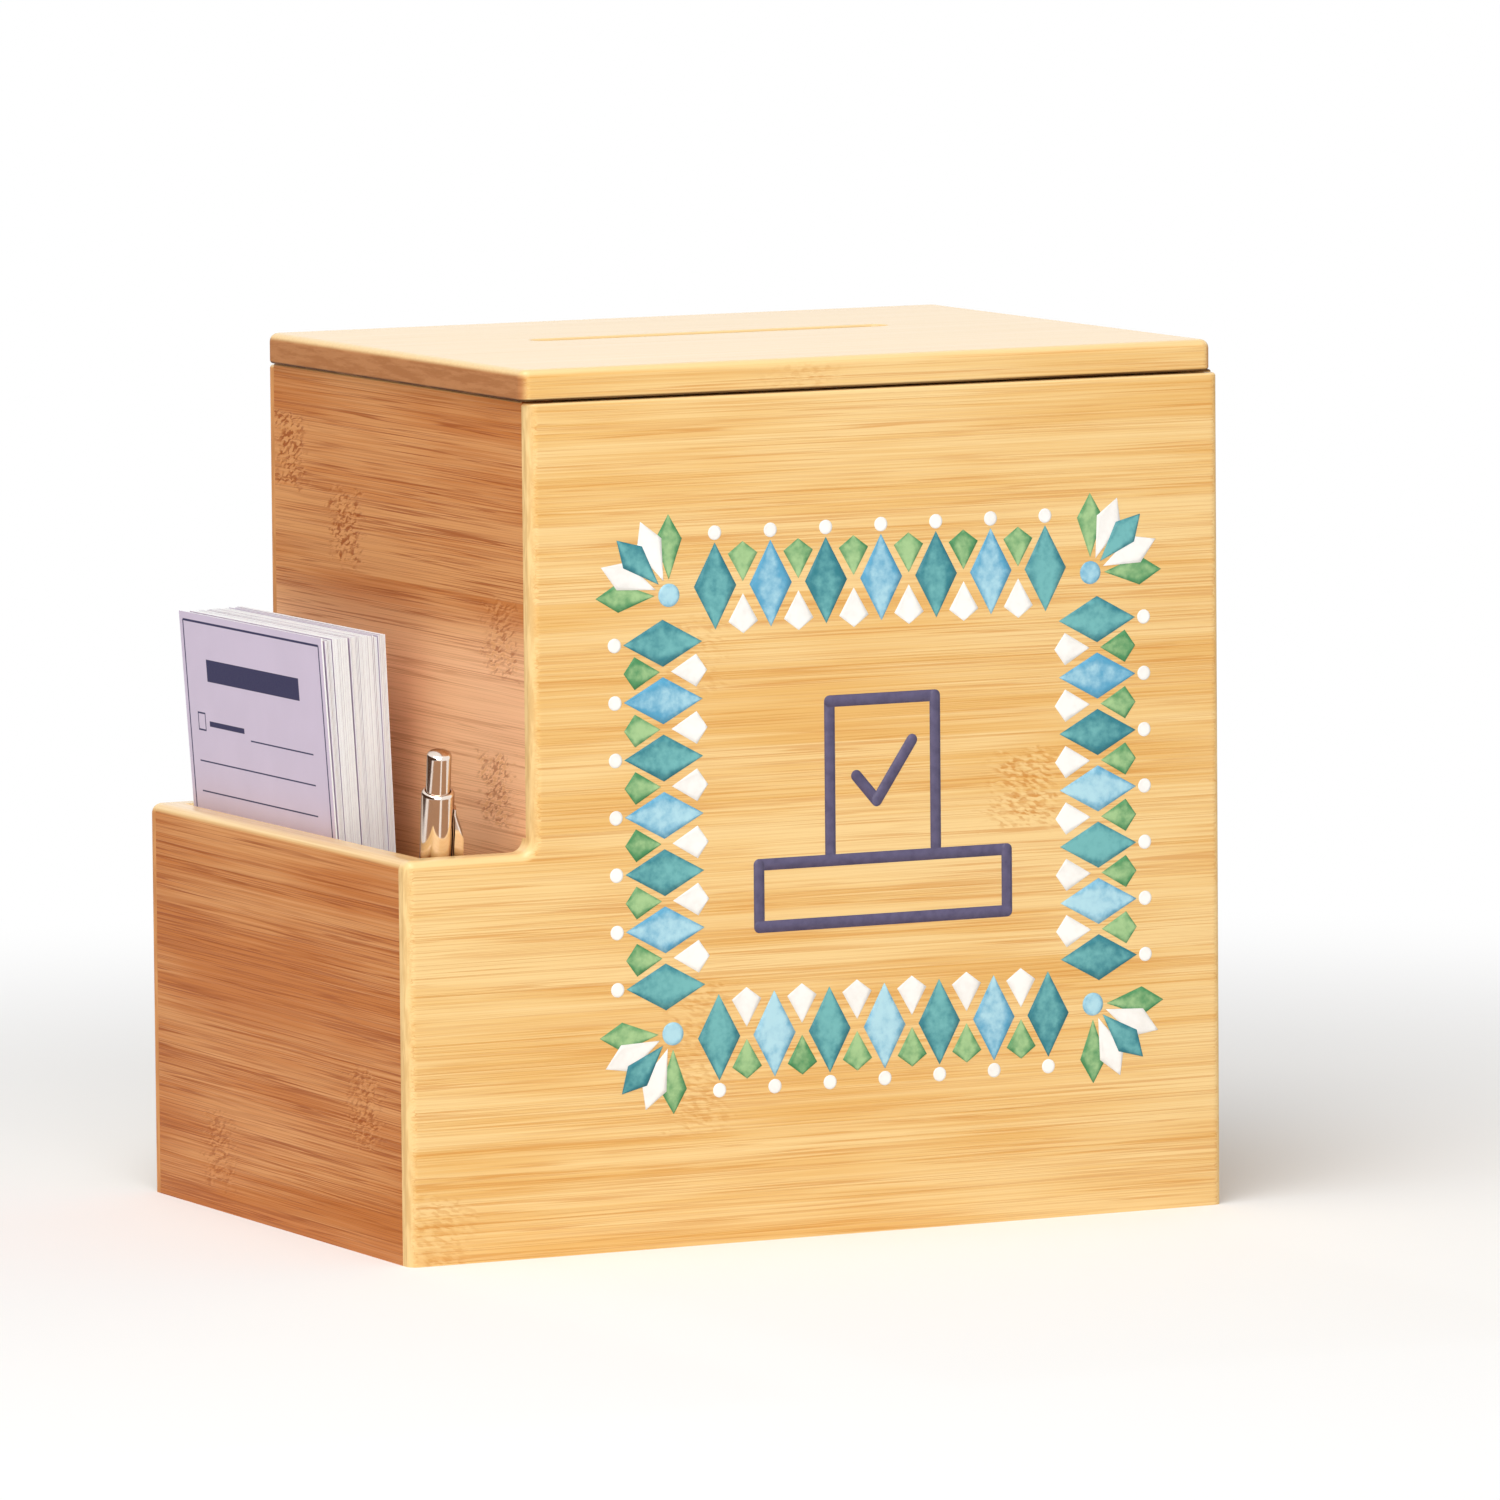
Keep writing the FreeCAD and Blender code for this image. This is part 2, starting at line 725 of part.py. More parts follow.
def clip():
    """Bent strip that leaves the barrel below its lip, stands off and comes back to touch it at its end."""
    body = new_body("pen_clip")
    root = upper_top - s.clip_drop
    elbow = root - s.clip_slope
    end = root - s.clip_length
    seat = s.pen_radius - s.tube_wall
    inner = s.pen_radius + s.clip_standoff
    outer = inner + s.clip_thickness
    foot = s.clip_thickness * 2
    bead = s.clip_thickness * 2
    side = outline(body, "clip_side", "XZ_Plane", [
        (seat, root),
        (seat, root - foot),
        (s.pen_radius + s.clip_thickness / 2, root - foot),
        (inner, elbow),
        (inner - s.clip_thickness, end + bead * 2),
        (s.pen_radius + s.fit_gap, end + bead),
        (s.pen_radius + s.fit_gap, end + bead / 2),
        (s.pen_radius + s.clip_thickness * 2, end),
        (outer, end + bead),
        (outer, elbow),
        (s.pen_radius + s.clip_thickness, root),
    ])
    pad(body, side, s.clip_width, both_ways=True)
    ring = body.newObject("Sketcher::SketchObject", "clip_barrel")
    ring.AttachmentSupport = (origin_plane(body, "XY_Plane"), [""])
    ring.MapMode = "FlatFace"
    ring.setExpression("AttachmentOffset.Base.z", end.text)
    ring.addGeometry(Part.Circle(FreeCAD.Vector(0, 0, 0), FreeCAD.Vector(0, 0, 1), s.pen_radius.value), False)
    ring.addConstraint(Sketcher.Constraint("Coincident", 0, 3, -1, 1))
    index = ring.addConstraint(Sketcher.Constraint("Radius", 0, s.pen_radius.value))
    ring.setExpression(f"Constraints[{index}]", s.pen_radius.text)
    pocket(body, ring, s.clip_length * 2, backwards=True)
    pen_place(body, -s.clip_turn)
    return body


def bowed(start, end, heading):
    """Point half way along the arc that leaves start along heading and arrives at end."""
    chord = end - start
    along = FreeCAD.Vector(chord).normalize()
    sideways = heading - along * heading.dot(along)
    half_turn = math.acos(max(-1.0, min(1.0, heading.dot(along))))
    return (start + end) / 2 + sideways.normalize() * (chord.Length / 2 * math.tan(half_turn / 2))


def biarc(start, start_heading, end, end_heading):
    """Two arcs that join two points smoothly with the given headings."""
    gap = end - start
    total = start_heading + end_heading
    bend = 2 * (1 - start_heading.dot(end_heading))
    push = gap.dot(total)
    reach = (-push + math.sqrt(push ** 2 + bend * gap.dot(gap))) / bend
    middle = (start + end + (start_heading - end_heading) * reach) / 2
    first = Part.Arc(start, bowed(start, middle, start_heading), middle)
    second = Part.Arc(middle, bowed(end, middle, -end_heading), end)
    return [first.toShape(), second.toShape()]


def least_gap(centreline, radius, wire):
    """Air between neighbouring turns, from points along the wire that lie over half a turn apart."""
    points = centreline.discretize(Distance=radius / 4)
    apart = int(math.pi * radius / (radius / 4))
    nearest = min(here.distanceToPoint(there)
                  for number, here in enumerate(points)
                  for there in points[number + apart:])
    return nearest - 2 * wire


def return_spring():
    """Helix of wire between the nose cone's shoulder and the collar on the refill."""
    radius = (s.refill_radius.value + s.spring_bore.value) / 2
    wire = s.spring_wire.value
    turns = s.spring_turns.value
    pitch = s.spring_length.value / turns
    base = spring_base.value
    step = math.pi
    count = int(round(turns * 2 * math.pi / step))
    flats = int(round(s.spring_flats.value))

    def point(angle):
        height = base + pitch * angle / (2 * math.pi)
        return FreeCAD.Vector(radius * math.cos(angle), radius * math.sin(angle), height)

    def heading(angle):
        slope = pitch / (2 * math.pi)
        return FreeCAD.Vector(-radius * math.sin(angle), radius * math.cos(angle), slope).normalize()

    edges = []
    for number in range(count):
        here = number * step
        there = here + step
        edges += biarc(point(here), heading(here), point(there), heading(there))
    outwards = FreeCAD.Vector(1, 0, 0)
    upwards = heading(0).cross(outwards).normalize()
    corners = []
    for number in range(flats + 1):
        turn = 2 * math.pi * number / flats
        corners.append(point(0) + (outwards * math.cos(turn) + upwards * math.sin(turn)) * wire)
    centreline = Part.Wire(edges)
    coil = centreline.makePipeShell([Part.makePolygon(corners)], True, False)
    print(f"spring: least gap between turns {least_gap(centreline, radius, wire):.2f} mm")
    spring = doc.addObject("Part::Feature", "pen_spring")
    spring.Label = "pen_spring"
    spring.Shape = coil
    pen_place(spring)
    return spring


# Assembly

router = rim_router()
front = front_board(router)
first_foot = card_foot()
stack_foot = first_foot + (s.card_thickness + s.leaf_gap) / cosine(s.front_lean)
nodes = [
    front,
    back_board(front),
    right_board(),
    pocket_end_board(router),
    divider_board(),
    floor_board(),
    lid_board(),
    lid_batten("lid_batten_left", -1),
    lid_batten("lid_batten_right", 1),
    card("front_card", first_foot, s.card_thickness, s.front_lean),
    card_stack(stack_foot),
    upper_barrel(),
    push_button(),
    clip(),
    trim_ring(),
    lower_barrel(),
    nose_cone(),
    refill(),
    refill_tip(),
    return_spring(),
    click_cam(),
]
doc.recompute()

for item in doc.Objects:
    if "Invalid" in item.State or "Error" in item.State:
        raise RuntimeError(f"{item.Name} failed: {item.State}")
for node in nodes:
    if node.Shape.isNull() or not node.Shape.isValid() or not node.Shape.Solids:
        raise RuntimeError(f"{node.Label} has no sound solid")

os.makedirs("parts", exist_ok=True)
for node in nodes:
    node.Shape.exportStep(f"parts/{node.Label}.step")
    print(f"{node.Label}: {len(node.Shape.Solids)} solid(s), {node.Shape.Volume / 1000:.2f} cm3")
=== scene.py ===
import json
import logging
import math
from dataclasses import dataclass, field
from enum import Enum
from typing import Dict, List, Sequence, Tuple, Union

import bmesh
import bpy
import numpy as np
from mathutils import Matrix, Vector


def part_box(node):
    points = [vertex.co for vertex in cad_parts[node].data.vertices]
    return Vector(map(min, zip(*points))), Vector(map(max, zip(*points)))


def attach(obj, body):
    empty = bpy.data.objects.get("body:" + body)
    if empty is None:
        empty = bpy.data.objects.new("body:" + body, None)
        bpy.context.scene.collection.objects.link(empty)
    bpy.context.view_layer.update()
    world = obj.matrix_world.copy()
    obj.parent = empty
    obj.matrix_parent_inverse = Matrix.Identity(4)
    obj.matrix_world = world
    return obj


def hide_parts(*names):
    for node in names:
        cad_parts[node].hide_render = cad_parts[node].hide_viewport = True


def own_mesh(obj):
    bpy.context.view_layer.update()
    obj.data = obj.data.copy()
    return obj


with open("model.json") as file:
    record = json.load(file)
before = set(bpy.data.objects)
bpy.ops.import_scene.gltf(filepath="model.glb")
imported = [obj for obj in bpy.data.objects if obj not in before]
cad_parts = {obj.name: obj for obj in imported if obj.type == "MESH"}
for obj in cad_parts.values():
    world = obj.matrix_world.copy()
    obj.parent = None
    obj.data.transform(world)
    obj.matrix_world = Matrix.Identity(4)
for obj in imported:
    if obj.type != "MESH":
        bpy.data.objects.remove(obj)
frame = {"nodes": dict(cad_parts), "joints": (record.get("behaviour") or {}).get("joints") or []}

Material = bpy.types.Material
Node = bpy.types.Node
Socket = bpy.types.NodeSocket
Tree = bpy.types.NodeTree
Feed = Union[Socket, float, Tuple[float, ...]]
Colour = Tuple[float, float, float]
Triple = Tuple[float, float, float]
Bar = Tuple[float, float, float, float]

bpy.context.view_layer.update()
LOG = logging.getLogger("ballot_box")
MM = 0.001
FULL_TURN = 2 * math.pi
SHARP_EDGE = math.radians(35.0)
SAME_PLACE = 1e-7
NO_LENGTH = 1e-8
INK_BLUR = 0.06
WHITE: Colour = (1.0, 1.0, 1.0)


def linear(red: int, green: int, blue: int) -> Colour:
    """Turns a screen colour of 0 to 255 into linear light.

    Args:
        red: Red of the screen colour.
        green: Green of the screen colour.
        blue: Blue of the screen colour.

    Returns:
        The three linear shares from 0 to 1.
    """
    screen = np.array([red, green, blue]) / 255
    light = np.where(screen <= 0.04045, screen / 12.92, ((screen + 0.055) / 1.055) ** 2.4)
    return tuple(float(share) for share in light)


class Where(Enum):
    """What a pattern is read from: the place in metres, the piece's own map or the way it faces."""

    PIECE = "Object"
    MAP = "UV"
    FACING = "Normal"


class Wiring:
    """Adds nodes to one shader tree and links them."""

    def __init__(self, tree: Tree) -> None:
        """Keeps the tree that the nodes go into."""
        self.tree = tree

    def add(self, kind: str, **settings: object) -> Node:
        """Adds a node.

        Args:
            kind: Blender's name of the node type.
            **settings: Properties to set on it.

        Returns:
            The new node.
        """
        node = self.tree.nodes.new(kind)
        for name, value in settings.items():
            setattr(node, name, value)
        return node

    def feed(self, node: Node, feeds: Dict[Union[str, int], Feed]) -> Node:
        """Links inputs of a node to other sockets, or sets their values.

        Args:
            node: The node.
            feeds: Sockets or values, by the input's name or number.

        Returns:
            The same node.
        """
        for key, value in feeds.items():
            socket = node.inputs[key]
            if isinstance(value, Socket):
                self.tree.links.new(value, socket)
            elif socket.type == "RGBA":
                socket.default_value = (*value, 1.0)
            else:
                socket.default_value = value
        return node

    def group(self, tree: Tree, feeds: Dict[str, Feed]) -> Node:
        """Places a node group with its inputs."""
        return self.feed(self.add("ShaderNodeGroup", node_tree=tree), feeds)

    def place(self, where: Where = Where.PIECE) -> Socket:
        """Gives what a pattern is read from."""
        return self.add("ShaderNodeTexCoord").outputs[where.value]

    def tone(self) -> Socket:
        """Gives the tone that is kept with each point of a piece."""
        return self.add("ShaderNodeAttribute", attribute_name="tone").outputs["Fac"]

    def math(self, operation: str, *terms: Feed) -> Socket:
        """Applies an operation of arithmetic to sockets or numbers."""
        node = self.add("ShaderNodeMath", operation=operation)
        return self.feed(node, dict(enumerate(terms))).outputs[0]

    def times(self, first: Feed, second: Feed) -> Socket:
        """Multiplies two values."""
        return self.math("MULTIPLY", first, second)

    def times_plus(self, value: Feed, factor: Feed, more: Feed) -> Socket:
        """Multiplies a value by a factor and adds more to it."""
        return self.math("MULTIPLY_ADD", value, factor, more)

    def off(self, value: Feed, middle: Feed) -> Socket:
        """Gives how far a value is from a middle one."""
        return self.math("ABSOLUTE", self.math("SUBTRACT", value, middle))

    def remap(self, value: Feed, low: float, high: float, to_low: float = 0.0,
              to_high: float = 1.0) -> Socket:
        """Carries a value from one range to another along a smooth step.

        Args:
            value: What is carried over.
            low: Value that becomes to_low.
            high: Value that becomes to_high.
            to_low: Start of the new range.
            to_high: End of the new range.

        Returns:
            The new value, held within its range.
        """
        node = self.add("ShaderNodeMapRange", interpolation_type="SMOOTHSTEP")
        self.feed(node, {"Value": value, "From Min": low, "From Max": high, "To Min": to_low,
                         "To Max": to_high})
        return node.outputs["Result"]

    def mix(self, share: Feed, first: Feed, second: Feed, mode: str = "MIX") -> Socket:
        """Mixes two colours.

        Args:
            share: How much of the second colour is used.
            first: Colour at share 0.
            second: Colour at share 1.
            mode: Blender's name of the way they mix.

        Returns:
            The mixed colour.
        """
        # Blender numbers a Mix node's colours 6 and 7, and the mixed one 2.
        node = self.add("ShaderNodeMix", data_type="RGBA", blend_type=mode)
        return self.feed(node, {0: share, 6: first, 7: second}).outputs[2]

    def split(self, vector: Socket) -> Tuple[Socket, ...]:
        """Gives the three parts of a vector."""
        return tuple(self.feed(self.add("ShaderNodeSeparateXYZ"), {0: vector}).outputs)

    def join(self, x: Feed, y: Feed, z: Feed) -> Socket:
        """Makes a vector of three parts."""
        return self.feed(self.add("ShaderNodeCombineXYZ"), {0: x, 1: y, 2: z}).outputs[0]

    def shaded(self, tint: Feed, shade: Socket) -> Socket:
        """Multiplies a colour by a shade."""
        return self.mix(1.0, tint, self.join(shade, shade, shade), "MULTIPLY")

    def noise(self, place: Socket, cells: Triple, shift: Feed = 0.0, detail: float = 2.0,
              roughness: float = 0.5) -> Socket:
        """Soft noise, drawn out along the axes.

        Args:
            place: Where it is read.
            cells: About how many cells there are in a unit along each axis.
            shift: Moves it along, so that two uses differ.
            detail: How many finer layers it has.
            roughness: How strong the finer layers are.

        Returns:
            The noise, which is 0.5 in the middle.
        """
        parts = [self.times_plus(part, count, shift)
                 for part, count in zip(self.split(place), cells)]
        node = self.feed(self.add("ShaderNodeTexNoise"), {
            "Vector": self.join(*parts), "Scale": 1.0, "Detail": detail, "Roughness": roughness})
        return node.outputs[0]

    def thin_lines(self, place: Socket, cells: Triple, shift: Feed, width: float) -> Socket:
        """Thin lines along which soft noise is within a width of its middle value."""
        return self.remap(self.off(self.noise(place, cells, shift, 1.0), 0.5), width, width / 5)

    def bump(self, height: Socket, depth: float) -> Socket:
        """Gives the normal of a surface that a height lifts by up to depth metres."""
        return self.feed(self.add("ShaderNodeBump"), {
            "Strength": 1.0, "Distance": depth, "Height": height}).outputs["Normal"]

    def finish(self, shader: Node, group: Node) -> None:
        """Gives a shader the colour and the roughness that a group puts out."""
        self.feed(shader, {"Base Color": group.outputs["Color"],
                           "Roughness": group.outputs["Roughness"]})


def new_group(name: str, inputs: Dict[str, Sequence[str]], outputs: Dict[str, Sequence[str]]
              ) -> Tuple[Wiring, Dict[str, Socket], Node]:
    """Starts a shader node group.

    Args:
        name: Name of the group.
        inputs: Names of its inputs by their kind.
        outputs: Names of its outputs by their kind.

    Returns:
        Its wiring, its input sockets by name and its output node.
    """
    tree = bpy.data.node_groups.new(name, "ShaderNodeTree")
    for side, kinds in (("INPUT", inputs), ("OUTPUT", outputs)):
        for kind, labels in kinds.items():
            for label in labels:
                tree.interface.new_socket(name=label, in_out=side,
                                          socket_type=f"NodeSocket{kind}")
    net = Wiring(tree)
    source, sink = net.add("NodeGroupInput"), net.add("NodeGroupOutput")
    given = {label: source.outputs[label] for labels in inputs.values() for label in labels}
    return net, given, sink


def new_material(name: str) -> Tuple[Material, Wiring, Node]:
    """Starts a material.

    Args:
        name: Name of the material.

    Returns:
        The material, its wiring and its Principled shader.
    """
    material = bpy.data.materials.new(name)
    material.use_nodes = True
    tree = material.node_tree
    return material, Wiring(tree), tree.nodes["Principled BSDF"]


def dress(node: str, material: Material) -> None:
    """Gives a CAD node its material.

    Args:
        node: Name of the node.
        material: The material.
    """
    mesh = frame["nodes"][node].data
    mesh.materials.clear()
    mesh.materials.append(material)
    LOG.info("dressed %s", node)


def joint_axis(name: str) -> Sequence[float]:
    """Gives the direction in which a joint draws its piece out."""
    return next(joint["axis"] for joint in frame["joints"] if joint["name"] == name)


def knuckle_group() -> Tree:
    """Mask of one knuckle: it fills its strip, and fades out along the grain with a ragged edge.

    Returns:
        The group.
    """
    net, given, sink = new_group("bamboo_knuckle", {
        "Vector": ["Place"], "Float": ["Along", "Across", "Reach", "Half width", "Strength"]},
        {"Float": ["Mask"]})
    place = given["Place"]
    along, across, _ = net.split(place)
    ragged = net.math("SUBTRACT", net.noise(place, (150, 420, 420)), 0.5)
    far_along = net.times_plus(ragged, 2.4, net.math(
        "DIVIDE", net.off(along, given["Along"]), given["Reach"]))
    far_across = net.times_plus(ragged, 0.9, net.math(
        "DIVIDE", net.off(across, given["Across"]), given["Half width"]))
    mask = net.times(net.remap(far_along, 1.4, 0.4), net.remap(far_across, 1.1, 0.75))
    net.feed(sink, {"Mask": net.times(mask, given["Strength"])})
    return net.tree


class BambooGrain:
    """Builds the group of laminated bamboo: strips, long fibres, flecked knuckles and end grain.

    Its place is (along the grain, across the strips, into the board) in metres, and the sizes below
    are cells of noise for each metre of that. End says how far the surface faces along the grain,
    and Up how far it faces up: upward faces are painted paler, a painted highlight where light
    falls from above, and the lacquer lies thickest there. The lid's shade input says where a
    painted shadow darkens the edges that meet the lid. The band input is 1 on darker strips of the
    bamboo's own tone, and -1 on a paler strip that is painted light on a board in shade.
    """

    RIPPLE: Triple = (240, 420, 420)
    BROAD: Triple = (5, 170, 170)
    FIBRES: Triple = (9, 1400, 1400)
    CLOUD: Triple = (9, 40, 40)
    STRANDS: Triple = (5, 760, 760)
    HAIRS: Triple = (10, 1300, 1300)
    BREAKS: Triple = (13, 300, 300)
    DASHES: Triple = (320, 820, 820)
    MOTTLE: Triple = (60, 70, 620)
    STRIP_SLIDE: float = 17.0
    KNUCKLE_SWAY: float = 2.4 * MM
    DASH_LEAN: float = 0.3
    # Painted light: colour of a paler strip that brightens a board where it lies in shade.
    PAINTED_LIGHT_BLUSH: Colour = linear(255, 200, 154)
    # Painted shadow: dark brown on the edges that meet the lid, where its shade falls.
    PAINTED_LID_SHADE: Colour = linear(66, 35, 18)
    WORN_END: Colour = (0.84, 0.77, 0.70)

    def __init__(self) -> None:
        """Starts the group with the noises that several of its marks share."""
        net, given, self.sink = new_group("bamboo_grain", {
            "Vector": ["Place"],
            "Float": ["End", "Up", "Painted lid shade", "Knuckles", "Band and painted light", "Strip width", "Seed", "Contrast",
                      "Threads"],
            "Color": ["Pale", "Deep", "Fibre", "End tint", "Painted top light"]},
            {"Color": ["Color"], "Float": ["Roughness", "Lacquer", "Height"]})
        self.net, self.given = net, given
        place, seed = given["Place"], given["Seed"]
        along, across, into = net.split(place)
        self.strip = net.math("ADD", net.math("DIVIDE", across, given["Strip width"]), seed)
        dice = net.feed(net.add("ShaderNodeTexWhiteNoise", noise_dimensions="2D"), {
            "Vector": net.join(net.math("FLOOR", self.strip), seed, 0.0)})
        self.tone = dice.outputs["Value"]
        self.slide = net.times(self.tone, self.STRIP_SLIDE)
        self.ripple = net.noise(place, self.RIPPLE, seed)
        sway = net.times(net.math("SUBTRACT", self.ripple, 0.5),
                         net.times(given["Knuckles"], self.KNUCKLE_SWAY))
        swayed = net.math("ADD", across, sway)
        self.bent = net.join(along, swayed, into)
        self.broad = net.noise(self.bent, self.BROAD, self.slide)
        self.fibres = net.noise(self.bent, self.FIBRES, self.slide, 3.0, 0.65)
        self.cloud = net.noise(place, self.CLOUD, self.slide)
        leaning = net.join(along, net.times_plus(along, self.DASH_LEAN, swayed), into)
        self.dashes = net.noise(leaning, self.DASHES, seed, 1.0)

    def streaks(self) -> Socket:
        """Strips of their own tone with broad soft streaks.

        Returns:
            The colour.
        """
        net, given, band_and_light = self.net, self.given, self.given["Band and painted light"]
        depth = net.times_plus(self.fibres, 0.34, net.times(self.cloud, 0.38))
        depth = net.times_plus(self.broad, 0.28, depth)
        depth = net.times_plus(net.math("SUBTRACT", self.tone, 0.5), given["Contrast"], depth)
        depth = net.times_plus(band_and_light, 0.1, depth)
        colour = net.mix(net.remap(depth, 0.40, 0.61), given["Pale"], given["Deep"])
        # Below 0 the band mixes in a painted light colour on a board that lies in shade.
        return net.mix(net.remap(band_and_light, 0.0, -1.0), colour, self.PAINTED_LIGHT_BLUSH)

    def threads(self) -> Socket:
        """Single fibres: long strands that break off, and finer hairs.

        Returns:
            Their mask.
        """
        net, given, seed = self.net, self.given, self.given["Seed"]
        strands = net.thin_lines(self.bent, self.STRANDS, self.slide, 0.04)
        breaks = net.noise(self.bent, self.BREAKS, seed)
        strands = net.times(strands, net.remap(breaks, 0.38, 0.60, 0.2, 0.9))
        hairs = net.thin_lines(self.bent, self.HAIRS, seed, 0.06)
        hairs = net.times(hairs, net.remap(self.broad, 0.38, 0.62, 0.25, 0.75))
        threads = net.times(net.math("MAXIMUM", strands, hairs), given["Threads"])
        # Fewer threads show where light is painted on.
        return net.times(threads, net.remap(given["Band and painted light"], -1.0, 0.0, 0.4, 1.0))

    def seams(self) -> Socket:
        """Glued seams between the strips, which show here and there.

        Returns:
            Their mask.
        """
        from_middle = self.net.off(self.net.math("FRACT", self.strip), 0.5)
        return self.net.times(self.net.remap(from_middle, 0.488, 0.4975),
                              self.net.remap(self.broad, 0.4, 0.6, 0.0, 0.45))

    def knuckled(self, colour: Socket) -> Socket:
        """Adds the knuckles: short leaning dashes with paler wood between them.

        Args:
            colour: The wood so far.

        Returns:
            The colour with its knuckles.
        """
        net, given, knuckles = self.net, self.given, self.given["Knuckles"]
        patchy = net.times(knuckles, net.remap(self.ripple, 0.32, 0.58, 0.45, 1.0))
        dark = net.times(patchy, net.remap(self.dashes, 0.49, 0.60, 0.0, 0.9))
        light = net.times(knuckles, net.remap(self.dashes, 0.47, 0.37, 0.0, 0.75))
        return net.mix(light, net.mix(dark, colour, given["Fibre"]), given["Pale"])

    def edged(self, colour: Socket, end: Socket) -> Socket:
        """Adds mottled end grain, painted light on upward faces and a painted shadow at the lid.

        Args:
            colour: The wood so far.
            end: How far the surface is end grain.

        Returns:
            The finished colour.
        """
        net, given = self.net, self.given
        mottle = net.noise(given["Place"], self.MOTTLE, given["Seed"], 3.0, 0.65)
        cut = net.mix(net.remap(mottle, 0.38, 0.62), given["End tint"], self.WORN_END, "MULTIPLY")
        # Painted highlight: upward faces are painted paler, as if lit from above.
        painted_top_light = net.times(net.remap(given["Up"], 0.08, 0.65, 0.0, 0.95),
                           net.remap(self.fibres, 0.4, 0.7, 1.0, 0.8))
        colour = net.mix(painted_top_light, net.mix(end, colour, cut), given["Painted top light"])
        # Painted shadow: the edges under the lid are darkened where its shade falls.
        lid_shade = net.times(given["Painted lid shade"], net.remap(self.cloud, 0.35, 0.6, 0.75, 0.95))
        return net.mix(lid_shade, colour, self.PAINTED_LID_SHADE)

    def build(self) -> Tree:
        """Puts the marks together.

        Returns:
            The group.
        """
        net, given = self.net, self.given
        end = net.remap(given["End"], 0.2, 0.95)
        threads, seams = self.threads(), self.seams()
        colour = net.mix(threads, self.streaks(), given["Fibre"])
        colour = self.knuckled(net.mix(seams, colour, given["Fibre"]))
        rough = net.times_plus(given["Knuckles"], 0.05,
                               net.remap(self.fibres, 0.3, 0.7, 0.38, 0.50))
        lacquer = net.times(net.remap(given["Up"], 0.1, 0.9),
                            net.math("SUBTRACT", 1.0, given["Painted lid shade"]))
        hollow = net.times_plus(given["Knuckles"], net.times(self.dashes, 3.0), threads)
        relief = net.math("SUBTRACT", net.times(self.fibres, -0.4),
                          net.math("ADD", hollow, seams))
        net.feed(self.sink, {
            "Color": self.edged(colour, end), "Roughness": net.times_plus(end, 0.15, rough),
            "Lacquer": lacquer, "Height": net.times(relief, net.math("SUBTRACT", 1.0, end))})
        return net.tree


def printed_bar_group() -> Tree:
    """Mask of a printed bar, from its middle and half size on a flat map in millimetres.

    Returns:
        The group.
    """
    net, given, sink = new_group("printed_bar", {
        "Vector": ["Place"], "Float": ["Middle x", "Middle y", "Half x", "Half y"]},
        {"Float": ["Mask"]})
    masks = []
    for part, axis in zip(net.split(given["Place"]), "xy"):
        past = net.math("SUBTRACT", net.off(part, given[f"Middle {axis}"]), given[f"Half {axis}"])
        masks.append(net.remap(past, INK_BLUR, -INK_BLUR))
    net.feed(sink, {"Mask": net.times(*masks)})
    return net.tree


def paper_group() -> Tree:
    """Smooth card stock: a faint cloud of fibres that shifts tone and tooth.

    Returns:
        The group.
    """
    net, given, sink = new_group("card_stock", {"Vector": ["Place"], "Color": ["Tint"]}, {
        "Color": ["Color"], "Float": ["Roughness", "Height"]})
    tooth = net.noise(given["Place"], (2600, 2600, 2600), 0.0, 3.0, 0.65)
    cloud = net.noise(given["Place"], (60, 60, 60))
    shade = net.math("ADD", net.remap(cloud, 0.3, 0.7, 0.965, 1.0),
                     net.remap(tooth, 0.3, 0.7, -0.012, 0.012))
    net.feed(sink, {"Color": net.shaded(given["Tint"], shade), "Height": tooth,
                    "Roughness": net.remap(tooth, 0.3, 0.7, 0.62, 0.74)})
    return net.tree


def handled_metal_group() -> Tree:
    """Bright metal that has been handled: faint smears and fine scratches.

    Returns:
        The group.
    """
    net, given, sink = new_group("handled_metal", {
        "Vector": ["Place"], "Color": ["Tint"], "Float": ["Least", "Most"]},
        {"Color": ["Color"], "Float": ["Roughness"]})
    smear = net.noise(given["Place"], (160, 160, 70), 0.0, 3.0, 0.6)
    scratch = net.noise(given["Place"], (2200, 2200, 240), 0.0, 2.0, 0.7)
    worn = net.math("ADD", net.times(smear, 0.7), net.times(scratch, 0.3))
    span = net.math("SUBTRACT", given["Most"], given["Least"])
    net.feed(sink, {
        "Color": net.shaded(given["Tint"], net.remap(worn, 0.3, 0.7, 1.0, 0.93)),
        "Roughness": net.times_plus(net.remap(worn, 0.35, 0.68), span, given["Least"])})
    return net.tree


def ink_group() -> Tree:
    """Washed ink: deeper at the rim of each shape, with a pale ridge and its own tone.

    Returns:
        The group.
    """
    net, given, sink = new_group("washed_ink", {
        "Vector": ["Place", "Spot"], "Float": ["Tone"], "Color": ["Pale", "Deep"]},
        {"Color": ["Color"], "Float": ["Roughness"]})
    along, across, _ = net.split(given["Spot"])
    rim = net.remap(net.off(across, 0.5), 0.16, 0.5)
    bloom = net.noise(given["Place"], (320, 320, 320), 0.0, 3.0, 0.6)
    pool = net.math("ADD", net.times(rim, 0.35), net.times(along, 0.28))
    pool = net.math("ADD", pool, net.times(given["Tone"], 0.35))
    pool = net.math("ADD", pool, net.math("SUBTRACT", bloom, 0.5))
    net.feed(sink, {"Color": net.mix(net.remap(pool, 0.05, 0.85), given["Pale"], given["Deep"]),
                    "Roughness": net.remap(bloom, 0.3, 0.7, 0.42, 0.55)})
    return net.tree


